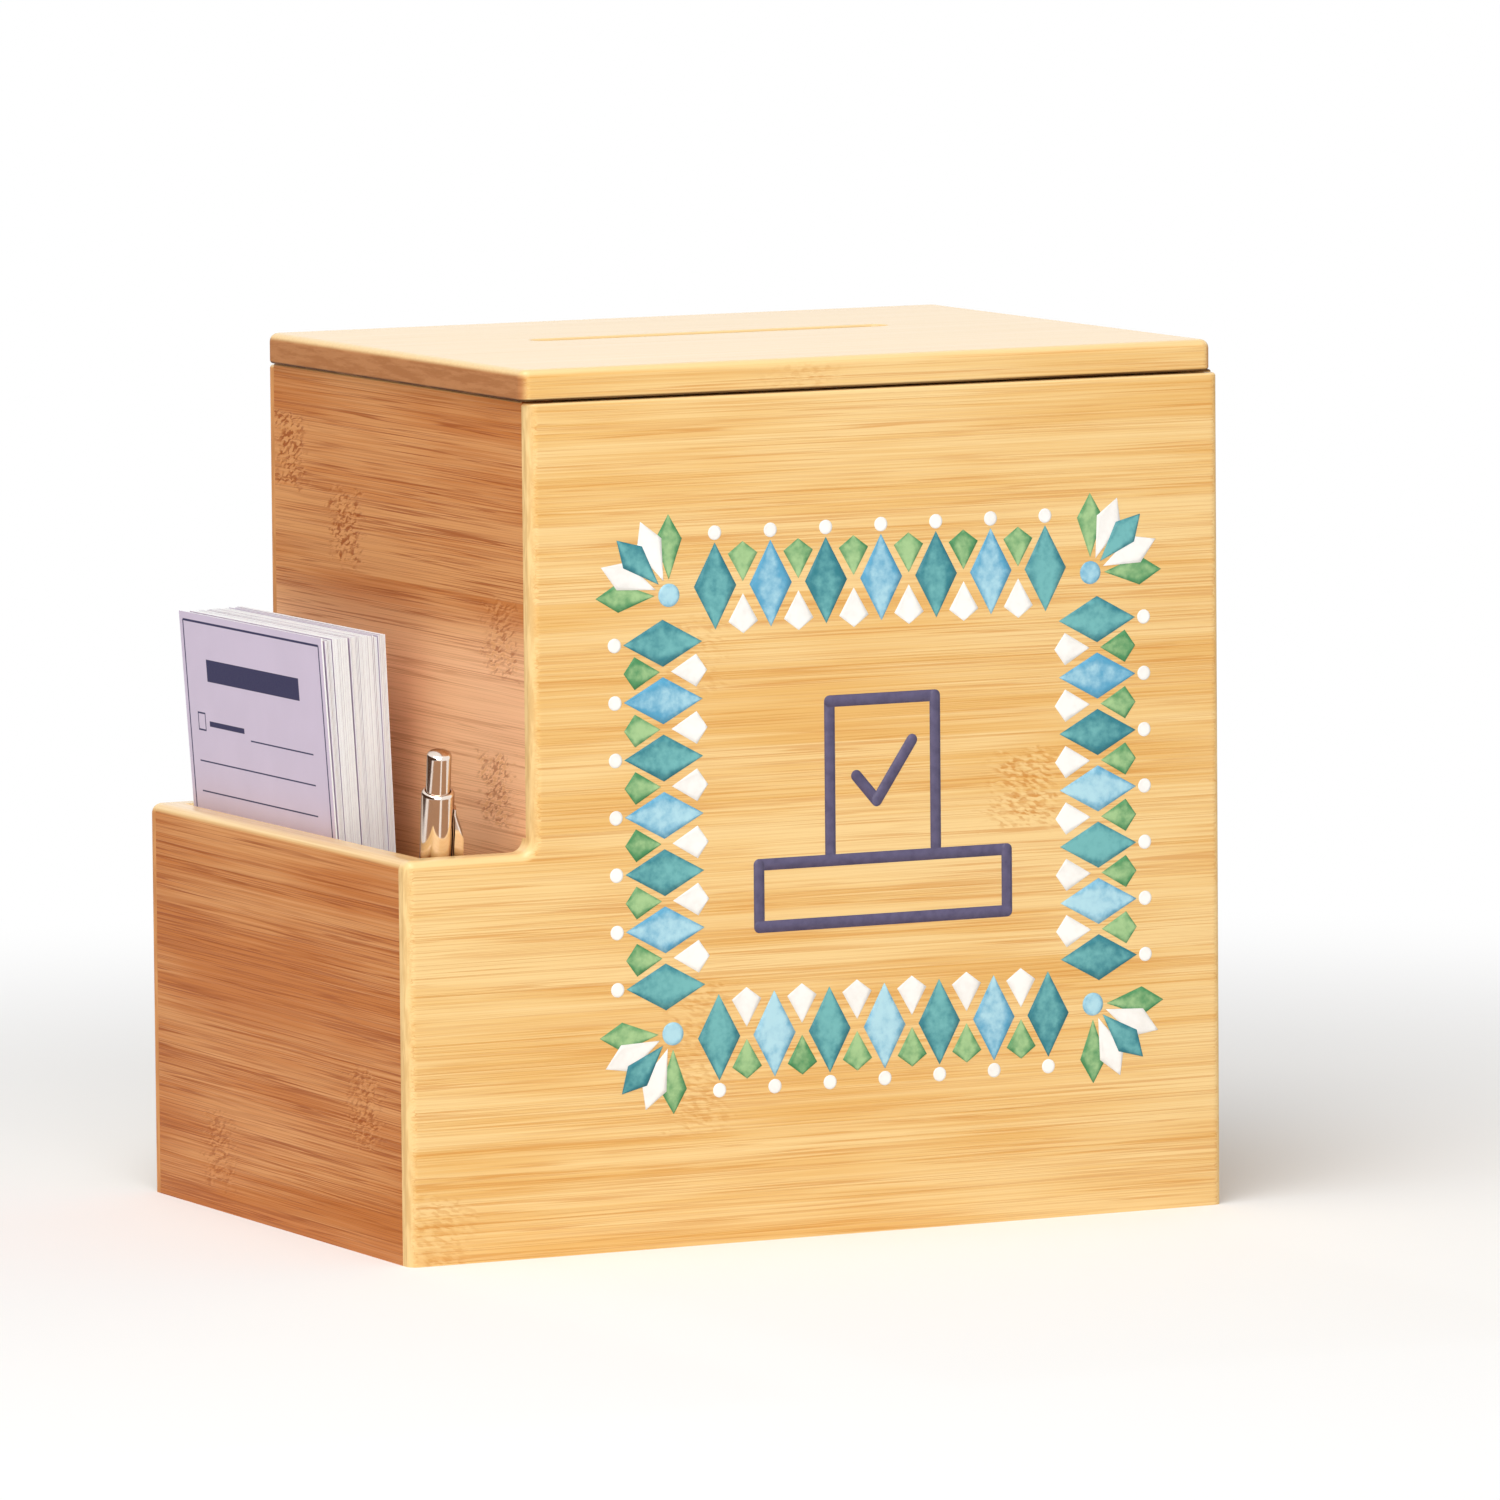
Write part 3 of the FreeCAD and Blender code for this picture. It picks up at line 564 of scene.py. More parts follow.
class Cut(Enum):
    """Which way a board was cut: its axes along the grain, across the strips and through it."""

    FACE = (0, 2, 1)
    WALL = (1, 2, 0)
    LID = (0, 1, 2)
    BATTEN = (1, 0, 2)


@dataclass(frozen=True)
class BambooTone:
    """Colours of one batch of bamboo.

    Args:
        pale: The wood between the fibres.
        deep: Broad darker streaks.
        fibre: Single fibres, seams and knuckles.
        contrast: How much its strips differ.
        threads: How strongly single fibres show.
    """

    pale: Colour
    deep: Colour
    fibre: Colour
    contrast: float
    threads: float


HONEY = BambooTone(linear(243, 208, 146), linear(232, 183, 109), linear(208, 138, 62), 0.08, 0.62)
# Darker, redder copy of the bamboo for the pocket's boards: partly their own tone, partly painted
# shade for the side that lies away from the light.
TOASTED_AND_SHADED = BambooTone(linear(221, 156, 97), linear(200, 122, 60), linear(162, 82, 30), 0.16, 0.9)
CUT_END = linear(191, 131, 84)


@dataclass
class Board:
    """One bamboo board of the box, and how its grain lies.

    Args:
        node: The CAD node.
        cut: Which way the grain runs.
        tone: Its colours.
        end: Colour of its end grain.
        seed: Where in the bamboo it was taken from, in strips.
        knuckles: Its knuckles: place along and across in millimetres, and strength.
        band_and_light: Middle and half width across, in millimetres, of strips of another tone, and
            how dark
        or pale they are: a dark strip is the bamboo's own tone, and a pale one is painted light
        on a board that lies in shade.
    """

    node: str
    cut: Cut
    tone: BambooTone
    end: Colour
    seed: float
    knuckles: Sequence[Triple] = ()
    band_and_light: Triple = (0.0, 1.0, 0.0)

    strip_width: float = 22 * MM
    knuckle_reach: float = 10 * MM
    relief: float = 0.05 * MM
    lid_joint: float = 245 * MM
    # How far the painted shadow under the lid reaches.
    lid_shade_reach: float = 0.9 * MM
    flat_facing: float = 0.995
    edge_facing: float = 0.93
    band_fade: float = 0.4
    gloss: float = 0.12
    lacquer_roughness: float = 0.26

    def knuckle_mask(self, net: Wiring, place: Socket, knuckle: Tree) -> Feed:
        """Puts the board's knuckles together.

        Args:
            net: Wiring of the board's material.
            place: Place on the board along, across and into it.
            knuckle: The group for one knuckle.

        Returns:
            Their mask, or 0 for a board without any.
        """
        mask: Feed = 0.0
        for along, across, strength in self.knuckles:
            spot = net.group(knuckle, {
                "Place": place, "Along": along * MM, "Across": across * MM, "Strength": strength,
                "Reach": self.knuckle_reach, "Half width": self.strip_width / 2})
            mask = net.math("MAXIMUM", mask, spot.outputs["Mask"])
        return mask

    def material(self, grain: Tree, knuckle: Tree) -> Material:
        """Makes the board's material.

        Args:
            grain: The bamboo group.
            knuckle: The group for one knuckle.

        Returns:
            The material.
        """
        material, net, shader = new_material(f"bamboo_{self.node}")
        parts, facing = net.split(net.place()), net.split(net.place(Where.FACING))
        lengthwise, crosswise, _ = self.cut.value
        place = net.join(*(parts[axis] for axis in self.cut.value))
        # Mask of the painted shadow on the edges that meet the lid.
        joint = net.times(
            net.remap(net.off(parts[2], self.lid_joint), self.lid_shade_reach, self.lid_shade_reach / 3),
            net.remap(net.math("ABSOLUTE", facing[2]), self.flat_facing, self.edge_facing))
        # Band across the board: darker strips are its own tone, and paler ones are painted light.
        middle, half, depth = self.band_and_light
        band_and_light_mask = net.remap(net.off(parts[crosswise], middle * MM), half * (1 + self.band_fade) * MM,
                          half * (1 - self.band_fade) * MM, 0.0, depth)
        # The wood gets a painted highlight on upward faces in the palest honey colour.
        wood = net.group(grain, {
            "Place": place, "End": net.math("ABSOLUTE", facing[lengthwise]), "Up": facing[2],
            "Painted lid shade": joint, "Knuckles": self.knuckle_mask(net, place, knuckle), "Band and painted light": band_and_light_mask,
            "Strip width": self.strip_width, "Seed": self.seed, "Contrast": self.tone.contrast,
            "Threads": self.tone.threads, "Pale": self.tone.pale, "Deep": self.tone.deep,
            "Fibre": self.tone.fibre, "End tint": self.end, "Painted top light": HONEY.pale})
        net.finish(shader, wood)
        net.feed(shader, {
            "Specular IOR Level": self.gloss, "Coat Weight": wood.outputs["Lacquer"],
            "Coat Roughness": self.lacquer_roughness,
            "Normal": net.bump(wood.outputs["Height"], self.relief)})
        return material


@dataclass
class Box:
    """The boards of the box and of its lid. Knuckle places are from the middle of the footprint."""

    boards: List[Board] = field(default_factory=lambda: [
        Board("front_panel", Cut.FACE, HONEY, HONEY.pale, 0.5,
              [(-39, 44, 0.4), (-39, 66, 0.4), (-41, 170, 0.3), (67, 126, 0.8), (-122, 9, 0.4)]),
        Board("back_panel", Cut.FACE, HONEY, TOASTED_AND_SHADED.pale, 4.2,
              [(60, 190, 0.8), (-30, 100, 0.5), (95, 40, 0.7), (-100, 62, 0.5)]),
        Board("pocket_end_panel", Cut.WALL, TOASTED_AND_SHADED, TOASTED_AND_SHADED.deep, 7.4,
              [(42, 18, 0.6), (-61, 42, 0.8)], band_and_light=(72.0, 14.0, 0.5)),
        # The divider's pale band is painted light on the part that lies in shade beside the cards.
        Board("divider_panel", Cut.WALL, TOASTED_AND_SHADED, TOASTED_AND_SHADED.deep, 0.5,
              [(75, 220, 1.0), (36, 200, 1.0), (-70, 176, 0.7), (-66, 132, 0.7)],
              band_and_light=(144.0, 34.0, -0.7)),
        Board("right_panel", Cut.WALL, HONEY, HONEY.deep, 2.9,
              [(-20, 205, 0.8), (48, 118, 0.6), (-55, 60, 0.7)]),
        Board("floor_panel", Cut.LID, TOASTED_AND_SHADED, TOASTED_AND_SHADED.deep, 5.1, [(-60, 30, 0.6)]),
        Board("lid_board", Cut.LID, HONEY, CUT_END, 1.3, [(-3, -84, 0.25)]),
        Board("lid_batten_left", Cut.BATTEN, HONEY, HONEY.deep, 3.6),
        Board("lid_batten_right", Cut.BATTEN, HONEY, HONEY.deep, 6.7),
    ])

    def build(self) -> None:
        """Dresses every board."""
        grain, knuckle = BambooGrain().build(), knuckle_group()
        for board in self.boards:
            dress(board.node, board.material(grain, knuckle))


@dataclass
class Patch:
    """Points, four-cornered faces, a map and a tone of a surface.

    Args:
        points: Places of the points, one a row.
        faces: Rows of four point numbers.
        spots: Place of each point on the map.
        tones: A number from 0 to 1 for each point.
    """

    points: np.ndarray
    faces: np.ndarray
    spots: np.ndarray
    tones: np.ndarray


def grid_faces(rows: int, columns: int, round_rows: bool = False,
               round_columns: bool = False) -> np.ndarray:
    """Faces between neighbouring points of a grid that is numbered row by row.

    Args:
        rows: Number of rows.
        columns: Points in a row.
        round_rows: Whether the last row joins the first.
        round_columns: Whether the end of each row joins its start.

    Returns:
        Rows of four point numbers.
    """
    row = np.arange(rows if round_rows else rows - 1)[:, None]
    column = np.arange(columns if round_columns else columns - 1)[None, :]
    below, right = (row + 1) % rows, (column + 1) % columns
    corners = (row * columns + column, row * columns + right,
               below * columns + right, below * columns + column)
    return np.stack(np.broadcast_arrays(*corners), -1).reshape(-1, 4)


def grid_spots(rows: np.ndarray, columns: np.ndarray) -> np.ndarray:
    """Map of a grid that is numbered row by row: the row's value and the column's at each point."""
    return np.stack(np.meshgrid(rows, columns, indexing="ij"), -1).reshape(-1, 2)


def copies(points: np.ndarray, faces: np.ndarray, spots: np.ndarray, tones: np.ndarray) -> Patch:
    """Joins copies of one grid into a patch.

    Args:
        points: Places as (copy, point, 3).
        faces: Faces of one copy.
        spots: Map of one copy.
        tones: One number for each copy.

    Returns:
        The patch.
    """
    count, size = points.shape[:2]
    shifts = (np.arange(count) * size)[:, None, None]
    return Patch(points.reshape(-1, 3), (faces[None] + shifts).reshape(-1, 4),
                 np.tile(spots, (count, 1)), np.repeat(tones, size))


def joined(patches: Sequence[Patch]) -> Patch:
    """Joins patches into one.

    Args:
        patches: The patches, in order.

    Returns:
        One patch with all their points and faces.
    """
    starts = np.cumsum([0] + [len(patch.points) for patch in patches[:-1]])
    return Patch(np.concatenate([patch.points for patch in patches]),
                 np.concatenate([patch.faces + start for patch, start in zip(patches, starts)]),
                 np.concatenate([patch.spots for patch in patches]),
                 np.concatenate([patch.tones for patch in patches]))


def smooth_step(value: np.ndarray) -> np.ndarray:
    """Smooth step from 0 to 1: 3 v squared less 2 v cubed, with v held from 0 to 1."""
    held = np.clip(value, 0, 1)
    return held * held * (3 - 2 * held)


def new_object(name: str, data: bpy.types.ID) -> bpy.types.Object:
    """Puts a mesh, a lamp or a camera into the scene.

    Args:
        name: Name of the object.
        data: What it shows.

    Returns:
        The object.
    """
    item = bpy.data.objects.new(name, data)
    bpy.context.scene.collection.objects.link(item)
    return item


def make_piece(name: str, patch: Patch, material: Material, body: str,
               film: float = 0.0) -> bpy.types.Object:
    """Puts a patch into the scene as a piece that moves with a body.

    Args:
        name: Name of the piece.
        patch: Its surface.
        material: Its material.
        body: The body that it rides on.
        film: Thickness of a flat patch that faces the right way, or 0 for a closed one.

    Returns:
        The piece.
    """
    mesh = bpy.data.meshes.new(name)
    mesh.from_pydata(patch.points.tolist(), [], patch.faces.tolist())
    corners = np.empty(len(mesh.loops), dtype=np.int32)
    mesh.loops.foreach_get("vertex_index", corners)
    spots, tones = patch.spots[corners].astype(np.float32), patch.tones.astype(np.float32)
    mesh.uv_layers.new(name="UVMap").data.foreach_set("uv", spots.ravel())
    mesh.attributes.new("tone", "FLOAT", "POINT").data.foreach_set("value", tones)
    shell = bmesh.new()
    shell.from_mesh(mesh)
    bmesh.ops.remove_doubles(shell, verts=shell.verts, dist=SAME_PLACE)
    bmesh.ops.dissolve_degenerate(shell, edges=shell.edges, dist=NO_LENGTH)
    if not film:
        bmesh.ops.recalc_face_normals(shell, faces=shell.faces)
    shell.to_mesh(mesh)
    shell.free()
    mesh.shade_smooth()
    mesh.set_sharp_from_angle(angle=SHARP_EDGE)
    mesh.materials.append(material)
    piece = new_object(name, mesh)
    if film:
        backing = piece.modifiers.new("backing", "SOLIDIFY")
        backing.thickness = film
        backing.offset = -1.0
    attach(piece, body)
    LOG.info("built %s with %d faces", name, len(mesh.polygons))
    return piece


@dataclass(frozen=True)
class Ink:
    """One ink of the printed ornament: its pale wash and its deep pool."""

    name: str
    pale: Colour
    deep: Colour

    def material(self, wash: Tree) -> Material:
        """Makes the ink's material.

        Args:
            wash: The washed ink group.

        Returns:
            The material.
        """
        material, net, shader = new_material(f"print_{self.name}")
        net.finish(shader, net.group(wash, {
            "Place": net.place(), "Spot": net.place(Where.MAP), "Tone": net.tone(),
            "Pale": self.pale, "Deep": self.deep}))
        return material


TEAL = Ink("teal", linear(112, 182, 182), linear(38, 122, 134))
SKY = Ink("sky", linear(178, 220, 232), linear(82, 160, 196))
MOSS = Ink("moss", linear(166, 202, 142), linear(70, 140, 86))
CHALK = Ink("chalk", linear(252, 249, 244), linear(238, 234, 228))
SLATE = Ink("slate", linear(92, 84, 116), linear(66, 60, 90))


@dataclass
class Ornament:
    """Printed frame of geometric tiles on the front, with a ballot sign in its middle.

    Lengths are in millimetres on the face: x to the right and y up, from the ornament's middle.
    """

    middle_x: float = 20.4
    middle_z: float = 124.8
    half_width: float = 70.0
    half_height: float = 65.0
    tile_length: float = 25.0
    tile_width: float = 13.5
    tile_shoulder: float = 0.5
    tile_grid: Tuple[int, int] = (13, 7)
    tiles_each_side: int = 7
    row_share: float = 0.76
    dart_length: float = 0.46
    dart_width: float = 0.7
    dart_inset: float = 1.5
    dart_outset: float = 0.04
    dart_shoulder: float = 0.3
    bead_radius: float = 2.1
    bead_gap: float = 2.8
    bead_grid: Tuple[int, int] = (5, 24)
    fan_rays: int = 5
    fan_length: float = 18.72
    fan_width: float = 8.5
    fan_shoulder: float = 0.62
    fan_start: float = 4.5
    hub_share: float = 0.97
    hub_size: float = 1.6
    stroke: float = 3.4
    stroke_tone: float = 0.6
    stroke_grid: Tuple[int, int] = (7, 3)
    sign_slip: Triple = (17.0, -14.0, 30.0)
    sign_box: Triple = (40.0, -34.0, -16.0)
    sign_tick: Sequence[Tuple[float, float]] = ((-8.5, 8.0), (-2.0, 0.5), (9.5, 17.5))
    film: float = 0.03
    seed: int = 7

    def on_face(self, flat: np.ndarray, layer: int) -> np.ndarray:
        """Carries shapes to the front face of the box, each a hair in front of the last.

        Args:
            flat: Places as (shape, point, 2) in millimetres.
            layer: How many layers of film lie under these shapes.

        Returns:
            Places as (shape, point, 3) in metres.
        """
        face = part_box("front_panel")[0].y / MM - self.film * (1 + layer)
        hair = self.film * np.linspace(0, 1, len(flat), endpoint=False)[:, None]
        depth = np.broadcast_to(face - hair, flat.shape[:2])
        across, up = flat[..., 0] + self.middle_x, flat[..., 1] + self.middle_z
        return np.stack([across, depth, up], -1) * MM

    def kites(self, starts: np.ndarray, angles: np.ndarray, length: float, width: float,
              shoulder: float, tones: np.ndarray, layer: int = 0) -> Patch:
        """Four-sided tiles with straight sides.

        A tile's half width rises in a straight line from 0 at its start to width / 2 at the share
        shoulder of its length, and falls again to 0 at its end. The grid is (share of the length,
        share of the width).

        Args:
            starts: Place of each tile's start as (tile, 2).
            angles: Heading of each tile from the x axis.
            length: Length of a tile.
            width: Greatest width of a tile.
            shoulder: Share of the length at which it is widest.
            tones: A number for each tile.
            layer: How many layers of film lie under them.

        Returns:
            The tiles.
        """
        lengthwise, crosswise = self.tile_grid
        share = np.unique(np.append(np.linspace(0, 1, lengthwise), shoulder))
        side = np.linspace(-1, 1, crosswise)
        half = np.interp(share, [0, shoulder, 1], [0, width / 2, 0])
        ahead = np.repeat(share * length, len(side))
        aside = (half[:, None] * side[None, :]).ravel()
        cosine, sine = np.cos(angles)[:, None], np.sin(angles)[:, None]
        flat = np.stack([starts[:, :1] + ahead * cosine - aside * sine,
                         starts[:, 1:] + ahead * sine + aside * cosine], -1)
        return copies(self.on_face(flat, layer), grid_faces(len(share), len(side))[:, ::-1],
                      grid_spots(share, (side + 1) / 2), tones)

    def beads(self, middles: np.ndarray, radius: float, tones: np.ndarray) -> Patch:
        """Round spots: the grid is (share of the radius, angle), closed round the angle.

        Args:
            middles: Middle of each bead as (bead, 2).
            radius: Radius of a bead.
            tones: A number for each bead.

        Returns:
            The beads.
        """
        rings, spokes = self.bead_grid
        share, turn = np.linspace(0, 1, rings), np.linspace(0, FULL_TURN, spokes, endpoint=False)
        disc = share[:, None, None] * np.stack([np.cos(turn), np.sin(turn)], -1) * radius
        flat = middles[:, None, :] + disc.reshape(1, -1, 2)
        faces = grid_faces(len(share), len(turn), round_columns=True)[:, ::-1]
        spots = grid_spots(share, np.full(len(turn), 0.5))
        return copies(self.on_face(flat, 0), faces, spots, tones)

    def strokes(self, starts: np.ndarray, ends: np.ndarray) -> Patch:
        """Straight strokes with round ends.

        The grid is (share of the length, share of the width). The half width follows a half circle
        over the first and the last half width of the length.

        Args:
            starts: Start of each stroke as (stroke, 2).
            ends: End of each stroke.

        Returns:
            The strokes.
        """
        radius, span = self.stroke / 2, ends - starts
        length = np.linalg.norm(span, axis=1)[:, None]
        heading = span / length
        rounding, crosswise = self.stroke_grid
        quarter = np.linspace(0, np.pi / 2, rounding)
        inset = radius * (1 - np.cos(quarter))
        reach = np.concatenate([np.broadcast_to(inset - radius, (len(span), len(inset))),
                                length + radius - inset[::-1]], 1)
        half = np.concatenate([np.sin(quarter), np.sin(quarter)[::-1]]) * radius
        side = np.linspace(-1, 1, crosswise)
        ahead = np.repeat(reach, len(side), axis=1)[..., None]
        aside = (half[:, None] * side[None, :]).ravel()[None, :, None]
        across = np.stack([-heading[:, 1], heading[:, 0]], -1)
        flat = starts[:, None] + ahead * heading[:, None] + aside * across[:, None]
        return copies(self.on_face(flat, 0), grid_faces(len(half), len(side))[:, ::-1],
                      np.full((flat.shape[1], 2), 0.5), np.full(len(span), self.stroke_tone))

    def sides(self, outwards: float, shares: np.ndarray) -> Tuple[np.ndarray, np.ndarray]:
        """Places along the four sides of the frame.

        Args:
            outwards: How far outside the middle line of the frame they lie.
            shares: Where they lie along a side, from -1 to 1.

        Returns:
            The places as (place, 2) and the outward angle at each.
        """
        reach_x, reach_y = shares * self.half_width, shares * self.half_height
        wide = np.full(len(shares), self.half_width + outwards)
        high = np.full(len(shares), self.half_height + outwards)
        places = np.concatenate([np.stack(pair, -1) for pair in (
            (reach_x, high), (wide, -reach_y), (-reach_x, -high), (-wide, reach_y))])
        return places, np.repeat([np.pi / 2, 0, -np.pi / 2, np.pi], len(shares))

    def tile_rows(self, chance: np.random.Generator) -> Dict[str, List[Patch]]:
        """Tiles, darts between them and beads along the four sides.

        Args:
            chance: Where the tones are drawn from.

        Returns:
            The shapes by ink.
        """
        shares = np.linspace(-self.row_share, self.row_share, self.tiles_each_side)
        half = self.tile_length / 2
        starts, angles = self.sides(-half, shares)
        order = np.tile(np.arange(self.tiles_each_side), 4)
        rows = {}
        for turn, ink in enumerate((TEAL, SKY)):
            picked = order % 2 == turn
            rows[ink.name] = [self.kites(starts[picked], angles[picked], self.tile_length,
                                         self.tile_width, self.tile_shoulder,
                                         chance.random(picked.sum()))]
        between = (shares[1:] + shares[:-1]) / 2
        for ink, outwards, shoulder in (
                (CHALK, -half - self.dart_inset, self.dart_shoulder),
                (MOSS, self.tile_length * self.dart_outset, 1 - self.dart_shoulder)):
            starts, angles = self.sides(outwards, between)
            rows[ink.name] = [self.kites(
                starts, angles, self.tile_length * self.dart_length,
                self.tile_width * self.dart_width, shoulder, chance.random(len(starts)))]
        spots, _ = self.sides(half + self.bead_gap, shares)
        rows[CHALK.name].append(self.beads(spots, self.bead_radius, chance.random(len(spots))))
        return rows

    def corner_fans(self, chance: np.random.Generator) -> Dict[str, List[Patch]]:
        """Rays that spread out at the four corners, with a bead where they meet.

        Args:
            chance: Where the tones are drawn from.

        Returns:
            The shapes by ink.
        """
        turns = np.linspace(-np.pi / 4, np.pi / 4, self.fan_rays)
        corners = np.array([1, 3, 5, 7]) * np.pi / 4
        signs = np.sign(np.stack([np.cos(corners), np.sin(corners)], -1))
        hubs = signs * np.array([self.half_width, self.half_height]) * self.hub_share
        angles = (corners[:, None] + turns[None]).ravel()
        headings = np.stack([np.cos(angles), np.sin(angles)], -1)
        starts = np.repeat(hubs, self.fan_rays, 0) + self.fan_start * headings
        order = np.tile(np.arange(self.fan_rays), 4)
        fans = {}
        for layer, (ink, rays) in enumerate(((MOSS, (0, 4)), (CHALK, (1, 3)), (TEAL, (2,)))):
            picked = np.isin(order, rays)
            fans[ink.name] = [self.kites(starts[picked], angles[picked], self.fan_length,
                                         self.fan_width, self.fan_shoulder,
                                         chance.random(picked.sum()), layer)]
        fans[SKY.name] = [self.beads(hubs, self.bead_radius * self.hub_size, chance.random(4))]
        return fans

    def sign(self) -> Patch:
        """A ticked slip over a box, drawn in strokes.

        The slip and the box each have a half width, a lowest and a highest level.

        Returns:
            The strokes.
        """
        slip, slip_low, slip_high = self.sign_slip
        box, box_low, box_high = self.sign_box
        paths = [[(-slip, slip_low), (-slip, slip_high), (slip, slip_high), (slip, slip_low)],
                 [(-box, box_high), (box, box_high)], [(-box, box_high), (-box, box_low)],
                 [(box, box_high), (box, box_low)], [(-box, box_low), (box, box_low)],
                 self.sign_tick]
        starts = np.concatenate([np.array(path[:-1]) for path in paths])
        return self.strokes(starts, np.concatenate([np.array(path[1:]) for path in paths]))

    def build(self) -> None:
        """Prints every ink on the front."""
        chance = np.random.default_rng(self.seed)
        wash = ink_group()
        layers: Dict[str, List[Patch]] = {SLATE.name: [self.sign()]}
        for part in (self.tile_rows(chance), self.corner_fans(chance)):
            for name, patches in part.items():
                layers.setdefault(name, []).extend(patches)
        for ink in (TEAL, SKY, MOSS, CHALK, SLATE):
            make_piece(f"ornament_{ink.name}", joined(layers[ink.name]), ink.material(wash), "box",
                       self.film * MM)


@dataclass
class Cards:
    """The cards in the pocket: one in front and a stack of the same behind it, in millimetres.

    A printed bar is its middle and half size, from the card's upper left corner, with y down.
    """

    width: float = 101.6
    height: float = 162.0
    front_thickness: float = 0.5
    leaves: int = 12
    leaf_pitch: float = 1.28
    leaf_gap: float = 0.18
    rear_lean: float = 2.4
    sheets: int = 48
    sheet: float = 0.3
    foot_evenness: float = 3.0
    top_evenness: float = 0.45
    even_share: float = 0.3
    bundle_slip: float = 0.3
    sheet_slip: float = 0.04
    bundle_drop: float = 0.8
    sheet_drop: float = 0.1
    seed: int = 11

    margin: float = 2.4
    border: float = 0.34
    heading: Bar = (50.2, 16.5, 33.0, 3.3)
    label: Bar = (29.0, 32.4, 12.5, 0.8)
    tick_middle: Tuple[float, float] = (11.0, 32.1)
    tick_half: float = 2.5
    tick_line: float = 0.25
    tick_corner: float = 0.2
    first_rule: Bar = (67.9, 34.9, 22.2, 0.22)
    next_rule: Bar = (48.8, 34.9, 41.3, 0.22)
    rule_pitch: float = 9.05
    rules: int = 12
    tooth: float = 0.01 * MM
    tone_scatter: float = 13.7
    darkest_sheet: float = 0.97
    navy: Colour = linear(52, 50, 92)
    face: Colour = linear(214, 200, 221)
    edge: Colour = linear(246, 253, 255)

    def front_lean(self) -> float:
        """Lean of the front card in radians, from the way that it is drawn out."""
        axis = joint_axis("front_card_lift")
        return math.atan2(-axis[0], axis[2])

    def slabs(self, feet: np.ndarray, leans: np.ndarray, thickness: float, low_y: np.ndarray,
              height: np.ndarray, floor: float) -> Patch:
        """Thin upright slabs that lean to the left.

        A point is foot + across * (cos lean, sin lean) + up * (-sin lean, cos lean) in x and z, for
        the eight corners of each slab.

        Args:
            feet: Lower left edge of each slab.
            leans: Lean of each slab in radians.
            thickness: Thickness of a slab.
            low_y: Front edge of each slab.
            height: Height of each slab.
            floor: Level of the feet.

        Returns:
            The slabs.
        """
        corners = np.array([[0, 0, 0], [1, 0, 0], [1, 1, 0], [0, 1, 0],
                            [0, 0, 1], [1, 0, 1], [1, 1, 1], [0, 1, 1]])
        faces = np.array([[0, 3, 2, 1], [4, 5, 6, 7], [0, 4, 7, 3],
                          [1, 2, 6, 5], [0, 1, 5, 4], [3, 7, 6, 2]])
        across, back = corners[:, 0] * thickness, corners[:, 1] * self.width
        rise = height[:, None] * corners[None, :, 2]
        cosine, sine = np.cos(leans)[:, None], np.sin(leans)[:, None]
        points = np.stack([feet[:, None] + across * cosine - rise * sine,
                           low_y[:, None] + back[None] + 0 * rise,
                           floor + across * sine + rise * cosine], -1) * MM
        spots = np.stack([1 - corners[:, 1], corners[:, 2]], -1).astype(float)
        return copies(points, faces, spots, np.linspace(0, 1, len(feet)))

    def foot(self) -> Triple:
        """Lower left foot, front edge and level of the front card's node, in millimetres.

        Returns:
            Its x, y and z.
        """
        low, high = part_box("front_card")
        right = self.front_thickness * math.cos(self.front_lean())
        return high.x / MM - right, low.y / MM, low.z / MM

    def stack_patch(self) -> Patch:
        """Sheets that lie close at their feet and fan out towards their tops, with some wide gaps.

        Returns:
            The sheets.
        """
        chance = np.random.default_rng(self.seed)
        foot_x, foot_y, floor = self.foot()
        lean = math.degrees(self.front_lean())
        first_sine = math.sin(math.radians(lean - (lean - self.rear_lean) / self.leaves))
        first = foot_x + (self.front_thickness + self.leaf_gap) / math.cos(math.radians(lean))
        spare = self.leaf_pitch * self.leaves - self.leaf_gap - self.sheet * self.sheets
        fan = self.height * (first_sine - math.sin(math.radians(self.rear_lean)))
        gaps = self.sheets - 1
        foot_gaps = spare * chance.dirichlet(np.full(gaps, self.foot_evenness))
        loose = (1 - self.even_share) * chance.dirichlet(np.full(gaps, self.top_evenness))
        top_gaps = (spare + fan) * (self.even_share / gaps + loose)
        steps = first + self.sheet * np.arange(self.sheets)
        feet = steps + np.append(0, np.cumsum(foot_gaps))
        tops = steps + np.append(0, np.cumsum(top_gaps)) - self.height * first_sine
        bundle = np.append(0, np.cumsum(top_gaps > self.sheet / 2))
        shift = chance.uniform(-self.bundle_slip, self.bundle_slip, self.sheets)[bundle]
        shift += chance.uniform(-self.sheet_slip, self.sheet_slip, self.sheets)
        heights = self.height - chance.uniform(0.0, self.bundle_drop, self.sheets)[bundle]
        heights -= chance.uniform(0.0, self.sheet_drop, self.sheets)
        leans = np.arcsin((feet - tops) / self.height)
        return self.slabs(feet, leans, self.sheet, foot_y + shift, heights, floor)

    def front_patch(self) -> Patch:
        """The card in front.

        Returns:
            Its slab.
        """
        foot_x, foot_y, floor = self.foot()
        return self.slabs(np.array([foot_x]), np.array([self.front_lean()]), self.front_thickness,
                          np.array([foot_y]), np.array([self.height]), floor)

